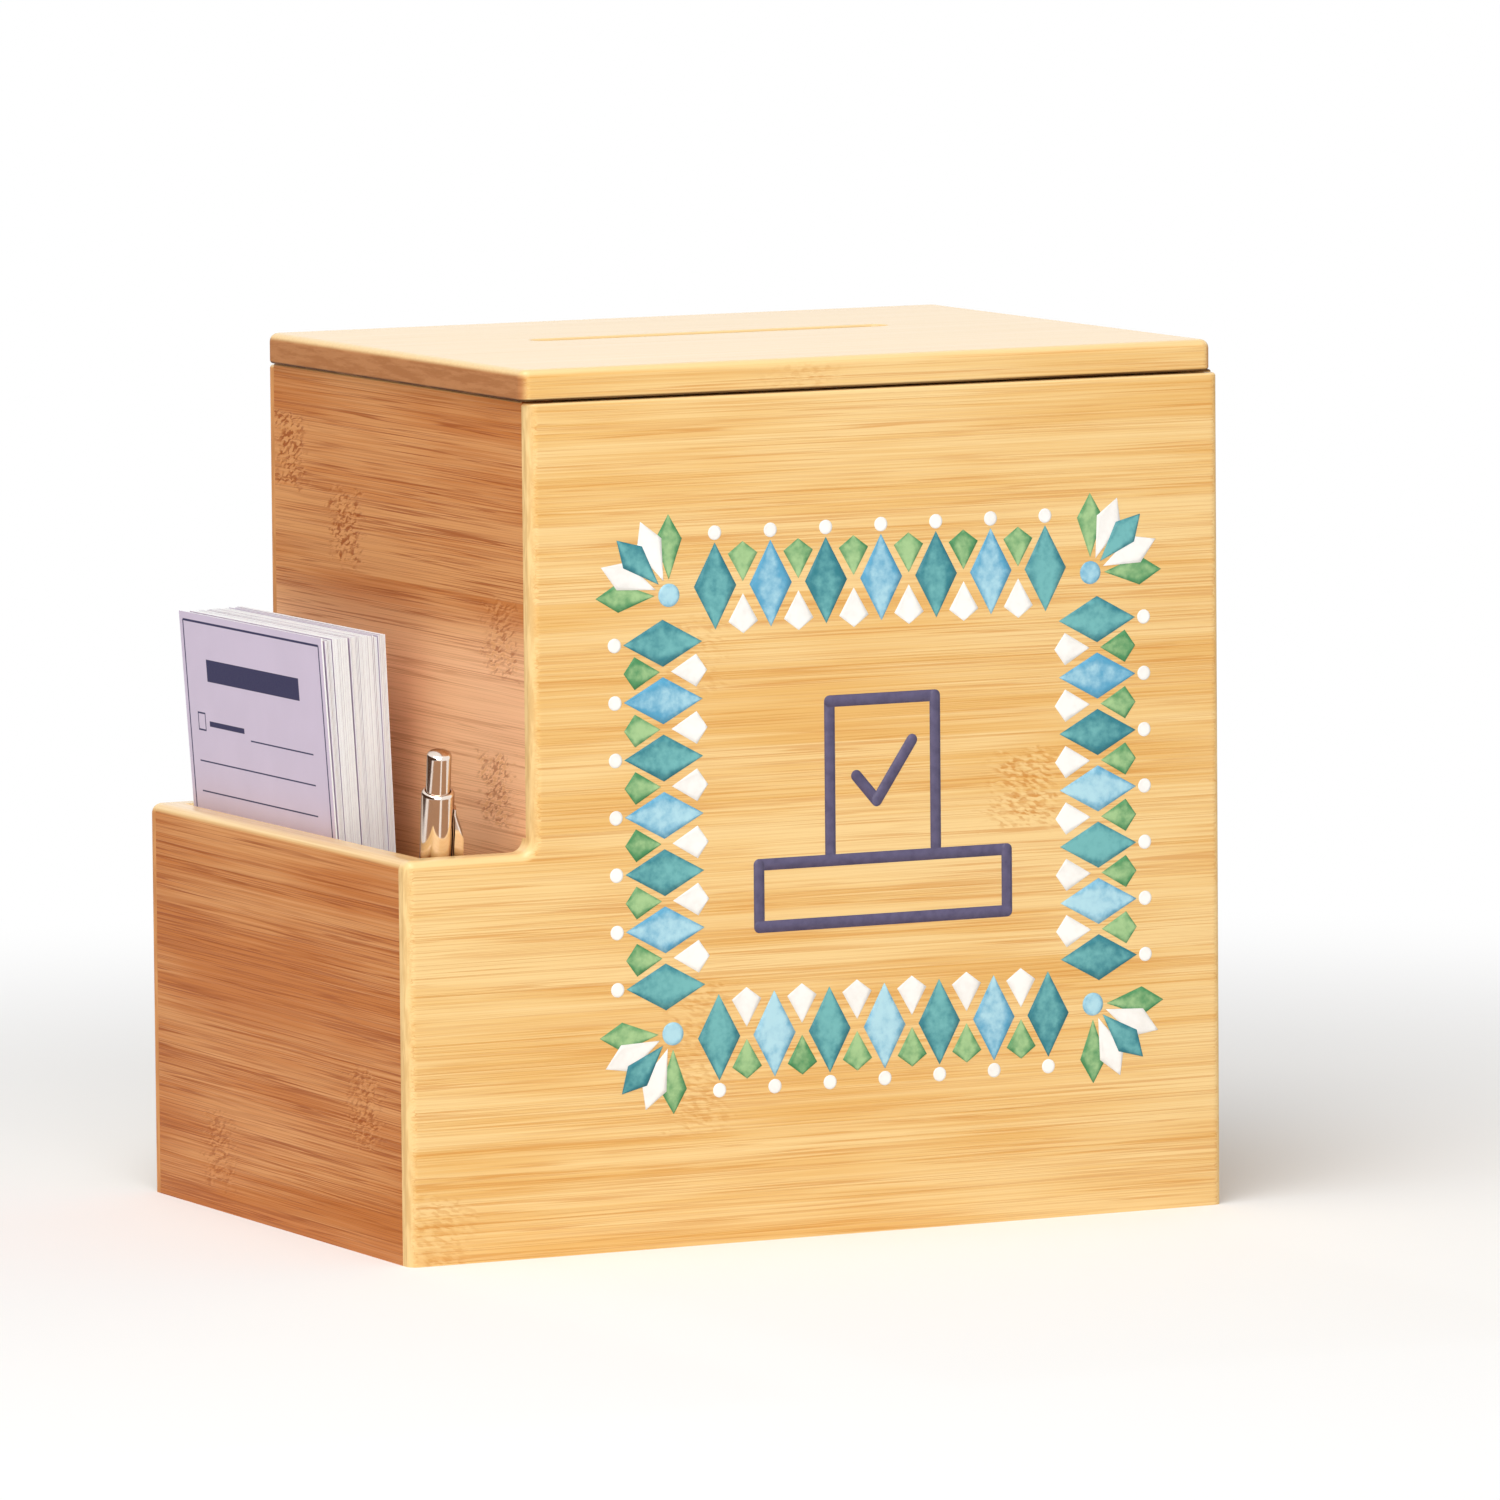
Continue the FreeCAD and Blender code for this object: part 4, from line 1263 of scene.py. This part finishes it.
    @staticmethod
    def outline(middle: Tuple[float, float], half: Tuple[float, float], line: float,
                corner: float = 0.0) -> List[Bar]:
        """Four bars round a rectangle.

        Args:
            middle: Its middle.
            half: Its half width and half height.
            line: Half thickness of the bars.
            corner: How far the bars run on past its corners.

        Returns:
            The bars.
        """
        (x, y), (wide, high) = middle, half
        level = [(x, y + side * high, wide + corner, line) for side in (-1, 1)]
        return level + [(x + side * wide, y, line, high + corner) for side in (-1, 1)]

    def bars(self) -> List[Bar]:
        """All that is printed on a card: border, heading bar, tick box, label and ruled lines.

        Returns:
            The printed bars.
        """
        middle = (self.width / 2, self.height / 2)
        border = self.outline(middle, tuple(half - self.margin for half in middle), self.border)
        tick_box = self.outline(self.tick_middle, (self.tick_half, self.tick_half), self.tick_line,
                                self.tick_corner)
        x, y, half_x, half_y = self.next_rule
        rules = [(x, y + self.rule_pitch * step, half_x, half_y)
                 for step in range(1, self.rules + 1)]
        return border + tick_box + [self.heading, self.label, self.first_rule] + rules

    def ink(self, net: Wiring) -> Socket:
        """Puts all printed bars together on a card's own flat map.

        Args:
            net: Wiring of the card's material.

        Returns:
            Mask of the print.
        """
        across, up, _ = net.split(net.place(Where.MAP))
        down = net.math("SUBTRACT", 1.0, up)
        place = net.join(net.times(across, self.width), net.times(down, self.height), 0.0)
        bar = printed_bar_group()
        printed: Feed = 0.0
        for sizes in self.bars():
            names = ("Middle x", "Middle y", "Half x", "Half y")
            mask = net.group(bar, {"Place": place, **dict(zip(names, sizes))})
            printed = net.math("MAXIMUM", printed, mask.outputs["Mask"])
        return printed

    def material(self) -> Material:
        """Card stock with white edges, toned from sheet to sheet and printed on its left face.

        Returns:
            The material.
        """
        material, net, shader = new_material("printed_card")
        scattered = net.math("FRACT", net.times(net.tone(), self.tone_scatter))
        shade = net.remap(scattered, 0.0, 1.0, 1.0, self.darkest_sheet)
        facing = net.split(net.place(Where.FACING))[0]
        tint = net.mix(net.remap(net.math("ABSOLUTE", facing), 0.4, 0.8), self.edge, self.face)
        paper = net.group(paper_group(), {"Place": net.place(), "Tint": tint})
        ink = net.times(self.ink(net), net.remap(facing, -0.4, -0.8))
        colour = net.mix(ink, net.shaded(paper.outputs["Color"], shade), self.navy)
        net.feed(shader, {"Base Color": colour, "Roughness": paper.outputs["Roughness"],
                          "Normal": net.bump(paper.outputs["Height"], self.tooth)})
        return material

    def build(self) -> None:
        """Puts the cards in place of their CAD nodes."""
        printed = self.material()
        stack = make_piece("cards_behind", self.stack_patch(), printed, "card_stack")
        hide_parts("card_stack")
        front = make_piece("card_in_front", self.front_patch(), printed, "front_card")
        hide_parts("front_card")


@dataclass(frozen=True)
class Metal:
    """A bright metal.

    Args:
        name: Name of its material.
        tint: Its tint where it is seen full on.
        edge: Its tint near its edges.
        least: Roughness where it is smoothest.
        most: Roughness where it is most handled.
    """

    name: str
    tint: Colour
    edge: Colour
    least: float
    most: float

    def material(self, handled: Tree) -> Material:
        """Makes the metal's material.

        Args:
            handled: The handled metal group.

        Returns:
            The material.
        """
        material, net, shader = new_material(self.name)
        net.feed(shader, {"Metallic": 1.0, "Specular Tint": self.edge})
        net.finish(shader, net.group(handled, {
            "Place": net.place(), "Tint": self.tint, "Least": self.least, "Most": self.most}))
        return material


# Painted reflection: the chrome's warm tint and dark brown edge tint stand in for the brown wood
# that it reflects.
CHROME_AND_PAINTED_REFLECTION = Metal("pen_chrome", (0.91, 0.78, 0.69), (0.34, 0.26, 0.21), 0.07, 0.14)
BRASS = Metal("tip_brass", (0.78, 0.58, 0.26), (0.5, 0.4, 0.2), 0.15, 0.3)
SPRING_STEEL = Metal("spring_steel", (0.56, 0.57, 0.59), (0.5, 0.5, 0.5), 0.2, 0.38)


@dataclass
class Pen:
    """The click pen, in millimetres along its axis from its mouth and outwards from the axis."""

    radius: float = 4.7
    wall: float = 0.5
    shoulder: float = 1.0
    nose_length: float = 18.0
    nose_end: float = 1.9
    nose_joint: float = 4.0
    nose_bore: float = 2.5
    nose_spigot: float = 5.0
    mouth: float = 1.3
    mouth_length: float = 6.0
    mouth_bevel: float = 0.2
    mouth_depth: float = 0.3
    nose_bevel: float = 0.25
    nose_swell: float = 0.03
    ring_base: float = 64.0
    ring_top: float = 67.0
    ring_swell: float = 0.1
    groove_levels: Triple = (24.0, 27.0, 30.0)
    groove_half: float = 0.25
    groove_depth: float = 0.12
    barrel_spigot: float = 8.0
    spigot_play: float = 0.05
    barrel_top: float = 129.5
    lip: float = 1.2
    lip_hole: float = 3.6
    lip_edge: float = 0.25
    button_radius: float = 3.5
    button_base: float = 115.8
    button_top: float = 141.9
    button_edge: float = 1.1
    button_dome: float = 0.45
    button_bevel: float = 0.1
    clip_root: float = 5.5
    clip_gap: float = 0.2
    clip_slope: float = 10.5
    clip_length: float = 38.0
    clip_width: float = 3.6
    clip_thickness: float = 0.7
    clip_standoff: float = 2.4
    clip_turn: float = 20.0
    clip_steps: int = 90
    clip_full: Tuple[float, float] = (1.0, 34.0)
    clip_root_share: float = 0.9
    clip_tip_share: float = 0.75
    dip_start: float = 29.0
    dip_length: float = 6.0
    kick_start: float = 35.5
    kick_length: float = 2.5
    kick_height: float = 0.7
    flange_end: float = 28.0
    flange_fade: float = 5.0
    flange_gap: float = 0.3
    spring_low: float = 6.2
    spring_length: float = 17.0
    spring_radius: float = 2.0
    spring_wire: float = 0.2
    spring_turns: int = 6
    spring_steps: int = 48
    wire_sides: int = 12
    click: float = 4.5
    ink_level: float = 98.0
    segments: int = 96

    def axis(self) -> Vector:
        """Direction of the pen's axis, from the way that it is drawn out."""
        return Vector(joint_axis("pen_lift")).normalized()

    def placed(self, points: np.ndarray) -> np.ndarray:
        """Carries points from the pen's own millimetres to their place in metres.

        The pen's own z becomes its real axis, which goes through the middle of the trim ring.

        Args:
            points: Places on the pen, one a row.

        Returns:
            Places in the frame.
        """
        axis = self.axis()
        low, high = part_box("pen_trim_ring")
        mouth = (low + high) / 2 - axis * ((self.ring_base + self.ring_top) / 2 * MM)
        turn = Vector((0, 0, 1)).rotation_difference(axis).to_matrix()
        return points * MM @ np.array(turn).T + np.array(mouth)

    def turned(self, profile: Sequence[Tuple[float, float]], closed: bool) -> Patch:
        """Surface of revolution: (r cos a, r sin a, z) for a profile's points (r, z) and angles a.

        Args:
            profile: Radius and height of the profile's points.
            closed: Whether the last point joins the first.

        Returns:
            The surface.
        """
        radius, height = np.array(profile, float).T
        angle = np.linspace(0, FULL_TURN, self.segments, endpoint=False)
        points = np.stack([radius[:, None] * np.cos(angle), radius[:, None] * np.sin(angle),
                           height[:, None] + 0 * angle], -1).reshape(-1, 3)
        faces = grid_faces(len(radius), len(angle), round_rows=closed, round_columns=True)
        return Patch(self.placed(points), faces,
                     grid_spots(height / self.button_top, angle / FULL_TURN), np.zeros(len(points)))

    def tube(self, rings: np.ndarray, middles: np.ndarray) -> Patch:
        """Rings joined into a tube, whose ends close on its middle line.

        Args:
            rings: Points as (ring, point, 3).
            middles: The middle line as (ring, 3).

        Returns:
            The tube.
        """
        ends = np.broadcast_to(middles[[0, -1], None], (2, *rings.shape[1:]))
        rings = np.concatenate([ends[:1], rings, ends[1:]])
        count, size = rings.shape[:2]
        spots = grid_spots(np.linspace(0, 1, count), np.arange(size) / size)
        return Patch(self.placed(rings.reshape(-1, 3)),
                     grid_faces(count, size, round_columns=True), spots, np.zeros(count * size))

    @staticmethod
    def arc(centre: Tuple[float, float], radius: float, start: float, end: float,
            steps: int) -> List[Tuple[float, float]]:
        """Part of a circle in a profile.

        Args:
            centre: Its centre.
            radius: Its radius.
            start: First angle in degrees.
            end: Last angle.
            steps: Number of points.

        Returns:
            The points.
        """
        angle = np.radians(np.linspace(start, end, steps))
        return list(zip(centre[0] + radius * np.cos(angle), centre[1] + radius * np.sin(angle)))

    def upper_barrel(self) -> Patch:
        """Tube with a rounded shoulder and a turned-in lip.

        Returns:
            The barrel.
        """
        bore, top = self.radius - self.wall, self.barrel_top
        edge, bend = self.lip_edge, self.shoulder
        profile = [(bore, self.ring_top), (self.radius, self.ring_top)]
        profile += self.arc((self.radius - bend, top - bend), bend, 0, 75, 9)
        profile += self.arc((self.lip_hole + edge, top - edge), edge, 90, 180, 4)
        profile += [(self.lip_hole, top - self.lip), (bore, top - self.lip)]
        return self.turned(profile, closed=True)

    def button(self) -> Patch:
        """Push button with a rounded edge and a slightly domed end.

        Returns:
            The button.
        """
        edge, bevel = self.button_edge, self.button_bevel
        profile = [(0.0, self.button_base), (self.button_radius - bevel, self.button_base),
                   (self.button_radius, self.button_base + bevel)]
        profile += self.arc((self.button_radius - edge, self.button_top - self.button_dome - edge),
                            edge, 0, 72, 6)
        rim, level = profile[-1]
        share = np.linspace(1, 0, 6)[1:]
        profile += list(zip(rim * share, level + (self.button_top - level) * (1 - share ** 2)))
        return self.turned(profile, closed=False)

    def trim_ring(self) -> Patch:
        """Ring with a rounded outside between the barrels.

        Returns:
            The ring.
        """
        bore, half = self.radius - self.wall, (self.ring_top - self.ring_base) / 2
        angle = np.linspace(-np.pi / 2, np.pi / 2, 9)
        bulge = zip(self.radius + self.ring_swell * np.cos(angle),
                    self.ring_base + half * (1 + np.sin(angle)))
        return self.turned([(bore, self.ring_base), *bulge, (bore, self.ring_top)], closed=True)

    def lower_barrel(self) -> Patch:
        """Tapered lower barrel with fine grooves near the nose, and its spigot in the upper one.

        Returns:
            The barrel.
        """
        bore, spigot = self.nose_joint - self.wall, self.radius - self.wall - self.spigot_play
        low, high, top = self.nose_length, self.ring_base, self.ring_top + self.barrel_spigot
        offset = np.array([-self.groove_half, 0, self.groove_half])
        level = (np.array(self.groove_levels)[:, None] + offset).ravel()
        taper = self.nose_joint + (self.radius - self.nose_joint) * (level - low) / (high - low)
        depth = np.tile([0, self.groove_depth, 0], len(self.groove_levels))
        profile = [(bore, low), (self.nose_joint, low), *zip(taper - depth, level),
                   (self.radius, high), (spigot, high), (spigot, top), (bore, top)]
        return self.turned(profile, closed=True)

    def nose_cone(self) -> Patch:
        """Tapered nose with a rounded mouth, its bore and its spigot.

        Returns:
            The nose.
        """
        spigot, top = self.nose_joint - self.wall - self.spigot_play, self.nose_length
        profile = [(self.mouth, self.mouth_depth), (self.mouth + self.mouth_bevel, 0.0),
                   (self.nose_end - self.mouth_bevel, 0.0),
                   (self.nose_end + self.nose_swell, self.nose_bevel), (self.nose_joint, top),
                   (spigot, top), (spigot, top + self.nose_spigot),
                   (self.nose_bore, top + self.nose_spigot),
                   (self.nose_bore, self.mouth_length), (self.mouth, self.mouth_length)]
        return self.turned(profile, closed=True)

    def clip(self) -> Patch:
        """Folded strip: a channel section, open towards the barrel, carried along a path beside it.

        With S the smooth step, the path's distance from the axis at s below the root is radius
        + gap + standoff * S(s / slope) - (standoff - thickness / 2) * S((s - dip start) / dip
        length) + kick height * S((s - kick start) / kick length). The flanges reach from there to
        just off the barrel and end before the tip. The section has 16 points round it: their share
        of the width, whether they lie inside a flange, and their shares of the thickness and of the
        flange's depth.

        Returns:
            The clip, closed at both ends.
        """
        below, half = np.linspace(0, self.clip_length, self.clip_steps), self.clip_thickness / 2
        out = self.clip_standoff * smooth_step(below / self.clip_slope)
        out += self.radius + self.clip_gap
        out -= (self.clip_standoff - half) * smooth_step((below - self.dip_start) / self.dip_length)
        out += self.kick_height * smooth_step((below - self.kick_start) / self.kick_length)
        level = self.barrel_top - self.clip_root - below
        slope = np.gradient(out, level)
        normal = np.stack([np.ones_like(slope), -slope], -1) / np.sqrt(1 + slope ** 2)[:, None]
        flange = np.maximum(out - self.radius - half - self.flange_gap, 0)
        flange *= 1 - smooth_step((below - self.flange_end) / self.flange_fade)
        taper = np.interp(below, [0, *self.clip_full, self.clip_length],
                          [self.clip_root_share, 1, 1, self.clip_tip_share])
        side = np.array([-1, -0.97, -0.85, 0.85, 0.97, 1, 1, 1, 1, 1, 1, -1, -1, -1, -1, -1])
        inside = np.array([0, 0, 0, 0, 0, 0, 0, 0, 1, 1, 1, 1, 1, 1, 0, 0])
        face = np.array([0.6, 0.9, 1, 1, 0.9, 0.6, -1, -1, -1, -1, -1, -1, -1, -1, -1, -1])
        deep = np.array([0, 0, 0, 0, 0, 0, 0, 1, 1, 0.5, 0, 0, 0.5, 1, 1, 0])
        thick = face * half - flange[:, None] * deep
        wide = taper[:, None] * (side * self.clip_width / 2 - inside * half * np.sign(side))
        rings = np.stack([out[:, None] + normal[:, :1] * thick, wide,
                          level[:, None] + normal[:, 1:] * thick], -1)
        middles = np.stack([out, 0 * out, level], -1)
        swing = np.array(Matrix.Rotation(-math.radians(self.clip_turn), 3, "Z")).T
        return self.tube(rings @ swing, middles @ swing)

    def spring(self) -> Patch:
        """Round wire along a helix.

        The centre line is (R cos a, R sin a, low + pitch a / 2 pi). Round it goes a circle in the
        plane of the outward direction and of the direction square to it and to the wire.

        Returns:
            The spring, closed at both ends.
        """
        steps = self.spring_steps * self.spring_turns + 1
        angle = np.linspace(0, FULL_TURN * self.spring_turns, steps)
        climb = self.spring_length / self.spring_turns / FULL_TURN
        nought = 0 * angle
        outward = np.stack([np.cos(angle), np.sin(angle), nought], -1)
        rise = np.stack([nought, nought, self.spring_low + climb * angle], -1)
        centre = outward * self.spring_radius + rise
        heading = np.stack([-self.spring_radius * np.sin(angle), self.spring_radius * np.cos(angle),
                            nought + climb], -1)
        heading /= np.linalg.norm(heading, axis=1)[:, None]
        upward = np.cross(outward, heading)
        turn = np.linspace(0, FULL_TURN, self.wire_sides, endpoint=False)[None, :, None]
        circle = outward[:, None] * np.cos(turn) + upward[:, None] * np.sin(turn)
        return self.tube(centre[:, None] + self.spring_wire * circle, centre)

    def dress_inside(self, handled: Tree) -> None:
        """Gives the refill, its tip and the cam their materials.

        Args:
            handled: The handled metal group.
        """
        tube, net, shader = new_material("ink_tube")
        empty = net.remap(net.split(net.place())[2], self.ink_level * MM, (self.ink_level + 1) * MM)
        smear = net.noise(net.place(), (900, 900, 120))
        net.feed(shader, {"Base Color": net.mix(empty, linear(28, 34, 88), linear(205, 210, 216)),
                          "Roughness": net.remap(smear, 0.3, 0.7, 0.18, 0.3)})
        dress("pen_refill", tube)
        plastic, net, shader = new_material("cam_plastic")
        grain = net.noise(net.place(), (1800, 1800, 1800), 0.0, 3.0, 0.6)
        colour = net.mix(net.remap(grain, 0.3, 0.7), linear(226, 226, 222), linear(240, 240, 236))
        net.feed(shader, {"Base Color": colour, "Roughness": net.remap(grain, 0.3, 0.7, 0.4, 0.55),
                          "Normal": net.bump(grain, 0.02 * MM)})
        dress("pen_click_cam", plastic)
        dress("pen_refill_tip", BRASS.material(handled))

    def build(self) -> None:
        """Builds the pen's shells in place of their CAD nodes, and dresses what is inside."""
        handled = handled_metal_group()
        # Chrome whose warm tint is partly a painted reflection of brown wood.
        chrome = CHROME_AND_PAINTED_REFLECTION.material(handled)
        shells = {"pen_upper_barrel": self.upper_barrel(), "pen_trim_ring": self.trim_ring(),
                  "pen_lower_barrel": self.lower_barrel(), "pen_nose_cone": self.nose_cone(),
                  "pen_clip": self.clip()}
        for node, patch in shells.items():
            shell = make_piece(node.replace("pen_", "chrome_"), patch, chrome, "pen")
            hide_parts(node)
        button = make_piece("chrome_button", self.button(), chrome, "pen_button")
        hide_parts("pen_button")
        coil = make_piece("wire_spring", self.spring(), SPRING_STEEL.material(handled), "pen")
        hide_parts("pen_spring")
        anchor = self.placed(np.array([[0.0, 0.0, self.spring_low]]))[0]
        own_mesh(coil)
        self.dress_inside(handled)


@dataclass(frozen=True)
class Lamp:
    """A square lamp that faces the box.

    Args:
        name: Name of the lamp.
        towards: Direction from the box to the lamp.
        reach: Distance of the lamp.
        size: Side of the lamp.
        level: Share of full daylight that it puts on a surface that faces it.
        tint: Its colour.
        aim: What it faces.
    """

    name: str
    towards: Triple
    reach: float
    size: float
    level: float
    tint: Colour
    aim: Triple = (0.0, 0.0, 0.12)

    def build(self) -> None:
        """Sets up the lamp."""
        data = bpy.data.lights.new(self.name, "AREA")
        data.shape = "SQUARE"
        data.size = self.size
        data.energy = self.level * math.pi ** 2 * self.reach ** 2
        data.color = self.tint
        lamp = new_object(self.name, data)
        direction = Vector(self.towards).normalized()
        lamp.location = Vector(self.aim) + direction * self.reach
        lamp.rotation_euler = direction.to_track_quat("Z", "Y").to_euler()


@dataclass(frozen=True)
class Sheet:
    """A flat sheet of the studio: a point is corner + u along + v across, for u and v from 0 to 1.

    Args:
        name: Name of the sheet.
        corner: One corner.
        along: Its first side.
        across: Its second side.
        colour: Its colour.
        cells: Cells of its faint clouds for each metre.
        clouds: Shade of the darkest clouds.
        roughness: How rough it is.
    """

    name: str
    corner: Triple
    along: Triple
    across: Triple
    colour: Colour
    cells: float
    clouds: float
    roughness: float = 0.9

    def build(self) -> Tuple[bpy.types.Object, Wiring, Node]:
        """Lays the sheet.

        Returns:
            The sheet, the wiring of its material and its Principled shader.
        """
        share = np.linspace(0, 1, 3)[:, None]
        points = np.array(self.corner) + share[None] * np.array(self.along)
        points = points + share[:, None] * np.array(self.across)
        mesh = bpy.data.meshes.new(self.name)
        mesh.from_pydata(points.reshape(-1, 3).tolist(), [], grid_faces(3, 3).tolist())
        material, net, shader = new_material(self.name)
        cloud = net.noise(net.place(), (self.cells, self.cells, self.cells))
        net.feed(shader, {"Roughness": self.roughness, "Base Color": net.shaded(
            self.colour, net.remap(cloud, 0.3, 0.7, self.clouds, 1.0))})
        mesh.materials.append(material)
        sheet = new_object(self.name, mesh)
        return sheet, net, shader


BROWN: Colour = (0.40, 0.235, 0.135)


@dataclass
class Studio:
    """Pale floor, soft lights and the camera of the photograph, in metres and degrees.

    The camera was found from the box's own edges: its target is where it looks, from the middle of
    the footprint. The brown cards beside the box are seen only in reflections.
    """

    azimuth: float = -26.17
    elevation: float = 5.99
    roll: float = -0.50
    distance: float = 3.7401
    target: Triple = (0.0140, -0.0175, 0.1335)
    focal_pixels: float = 12764.2
    image_pixels: float = 1500.0
    sensor: float = 36.0
    view_end: float = 100.0
    shadow_near: float = 0.30
    shadow_far: float = 0.75
    floor_gloss: float = 0.1
    sky: float = 0.40
    lamps: Sequence[Lamp] = (
        Lamp("key", (-0.48, -0.76, 0.45), 3.0, 2.6, 0.51, (1.0, 0.985, 0.97)),
        Lamp("overhead", (-0.30, -0.25, 1.0), 2.6, 1.6, 0.54, (1.0, 0.99, 0.97)))
    floor_sheet: Sheet = Sheet(
        "floor", (-14, -14, 0), (28, 0, 0), (0, 28, 0), (0.92, 0.92, 0.92), 3, 0.99)
    cards: Sequence[Sheet] = (
        Sheet("standing_card", (-0.40, -0.35, 0.01), (0, 1.6, 0), (0, 0, 0.40),
              (0.11, 0.055, 0.03), 40, 0.94),
        Sheet("left_card", (-0.36, -0.36, 0.003), (0.225, 0, 0), (0, 0.42, 0), BROWN, 40, 0.94),
        Sheet("right_card", (-0.095, -0.36, 0.003), (0.2, 0, 0), (0, 0.26, 0), BROWN, 40, 0.94))

    def camera(self) -> None:
        """Sets up the camera."""
        turn, rise, roll = np.radians([self.azimuth, self.elevation, self.roll]).tolist()
        back = Vector((math.sin(turn) * math.cos(rise), -math.cos(turn) * math.cos(rise),
                       math.sin(rise)))
        right = (-back).cross(Vector((0, 0, 1))).normalized()
        up = right.cross(-back)
        level = math.cos(roll) * right + math.sin(roll) * up
        upright = -math.sin(roll) * right + math.cos(roll) * up
        data = bpy.data.cameras.new("camera")
        data.sensor_width = self.sensor
        data.lens = self.focal_pixels / self.image_pixels * self.sensor
        data.clip_end = self.view_end
        camera = new_object("camera", data)
        stand = Matrix.Translation(Vector(self.target) + back * self.distance)
        camera.matrix_world = stand @ Matrix((level, upright, back)).transposed().to_4x4()
        bpy.context.scene.camera = camera

    @staticmethod
    def seen(net: Wiring) -> Socket:
        """Finds where a surface is looked at, also in a mirror or through glass.

        Args:
            net: Wiring of the surface's material.

        Returns:
            1 there, and 0 where the surface only lights others.
        """
        path = net.add("ShaderNodeLightPath").outputs
        looked = net.math("MAXIMUM", path["Is Camera Ray"], path["Is Glossy Ray"])
        return net.math("MAXIMUM", looked, path["Is Transmission Ray"])

    def sky_light(self) -> None:
        """Sets up the sky, which is white where it is seen."""
        world = bpy.data.worlds.new("sky")
        world.use_nodes = True
        bpy.context.scene.world = world
        net = Wiring(world.node_tree)
        net.feed(world.node_tree.nodes["Background"], {
            "Color": WHITE, "Strength": net.times_plus(self.seen(net), 1.0 - self.sky, self.sky)})

    def floor(self) -> None:
        """Lays a pale floor that keeps the shadow round the box and turns white away from it."""
        _, net, shader = self.floor_sheet.build()
        net.feed(shader, {"Specular IOR Level": self.floor_gloss})
        distance = net.feed(net.add("ShaderNodeVectorMath", operation="LENGTH"), {0: net.place()})
        away = net.remap(distance.outputs["Value"], self.shadow_near, self.shadow_far)
        white = net.feed(net.add("ShaderNodeEmission"), {"Color": WHITE})
        blend = net.feed(net.add("ShaderNodeMixShader"), {
            0: net.times(away, self.seen(net)), 1: shader.outputs["BSDF"],
            2: white.outputs["Emission"]})
        net.feed(net.tree.nodes["Material Output"], {"Surface": blend.outputs["Shader"]})

    def build(self) -> None:
        """Sets up everything round the box."""
        bpy.context.scene.view_settings.view_transform = "Standard"
        self.camera()
        for lamp in self.lamps:
            lamp.build()
        self.sky_light()
        self.floor()
        for sheet in self.cards:
            card, _, _ = sheet.build()
            card.visible_camera = card.visible_diffuse = False
            card.visible_shadow = card.visible_transmission = False


def main() -> None:
    """Builds the studio and every part of the box in order."""
    logging.basicConfig(level=logging.INFO, format="%(name)s: %(message)s")
    for part in (Studio(), Box(), Ornament(), Cards(), Pen()):
        part.build()
        LOG.info("finished %s", type(part).__name__)


if __name__ == "__main__":
    main()
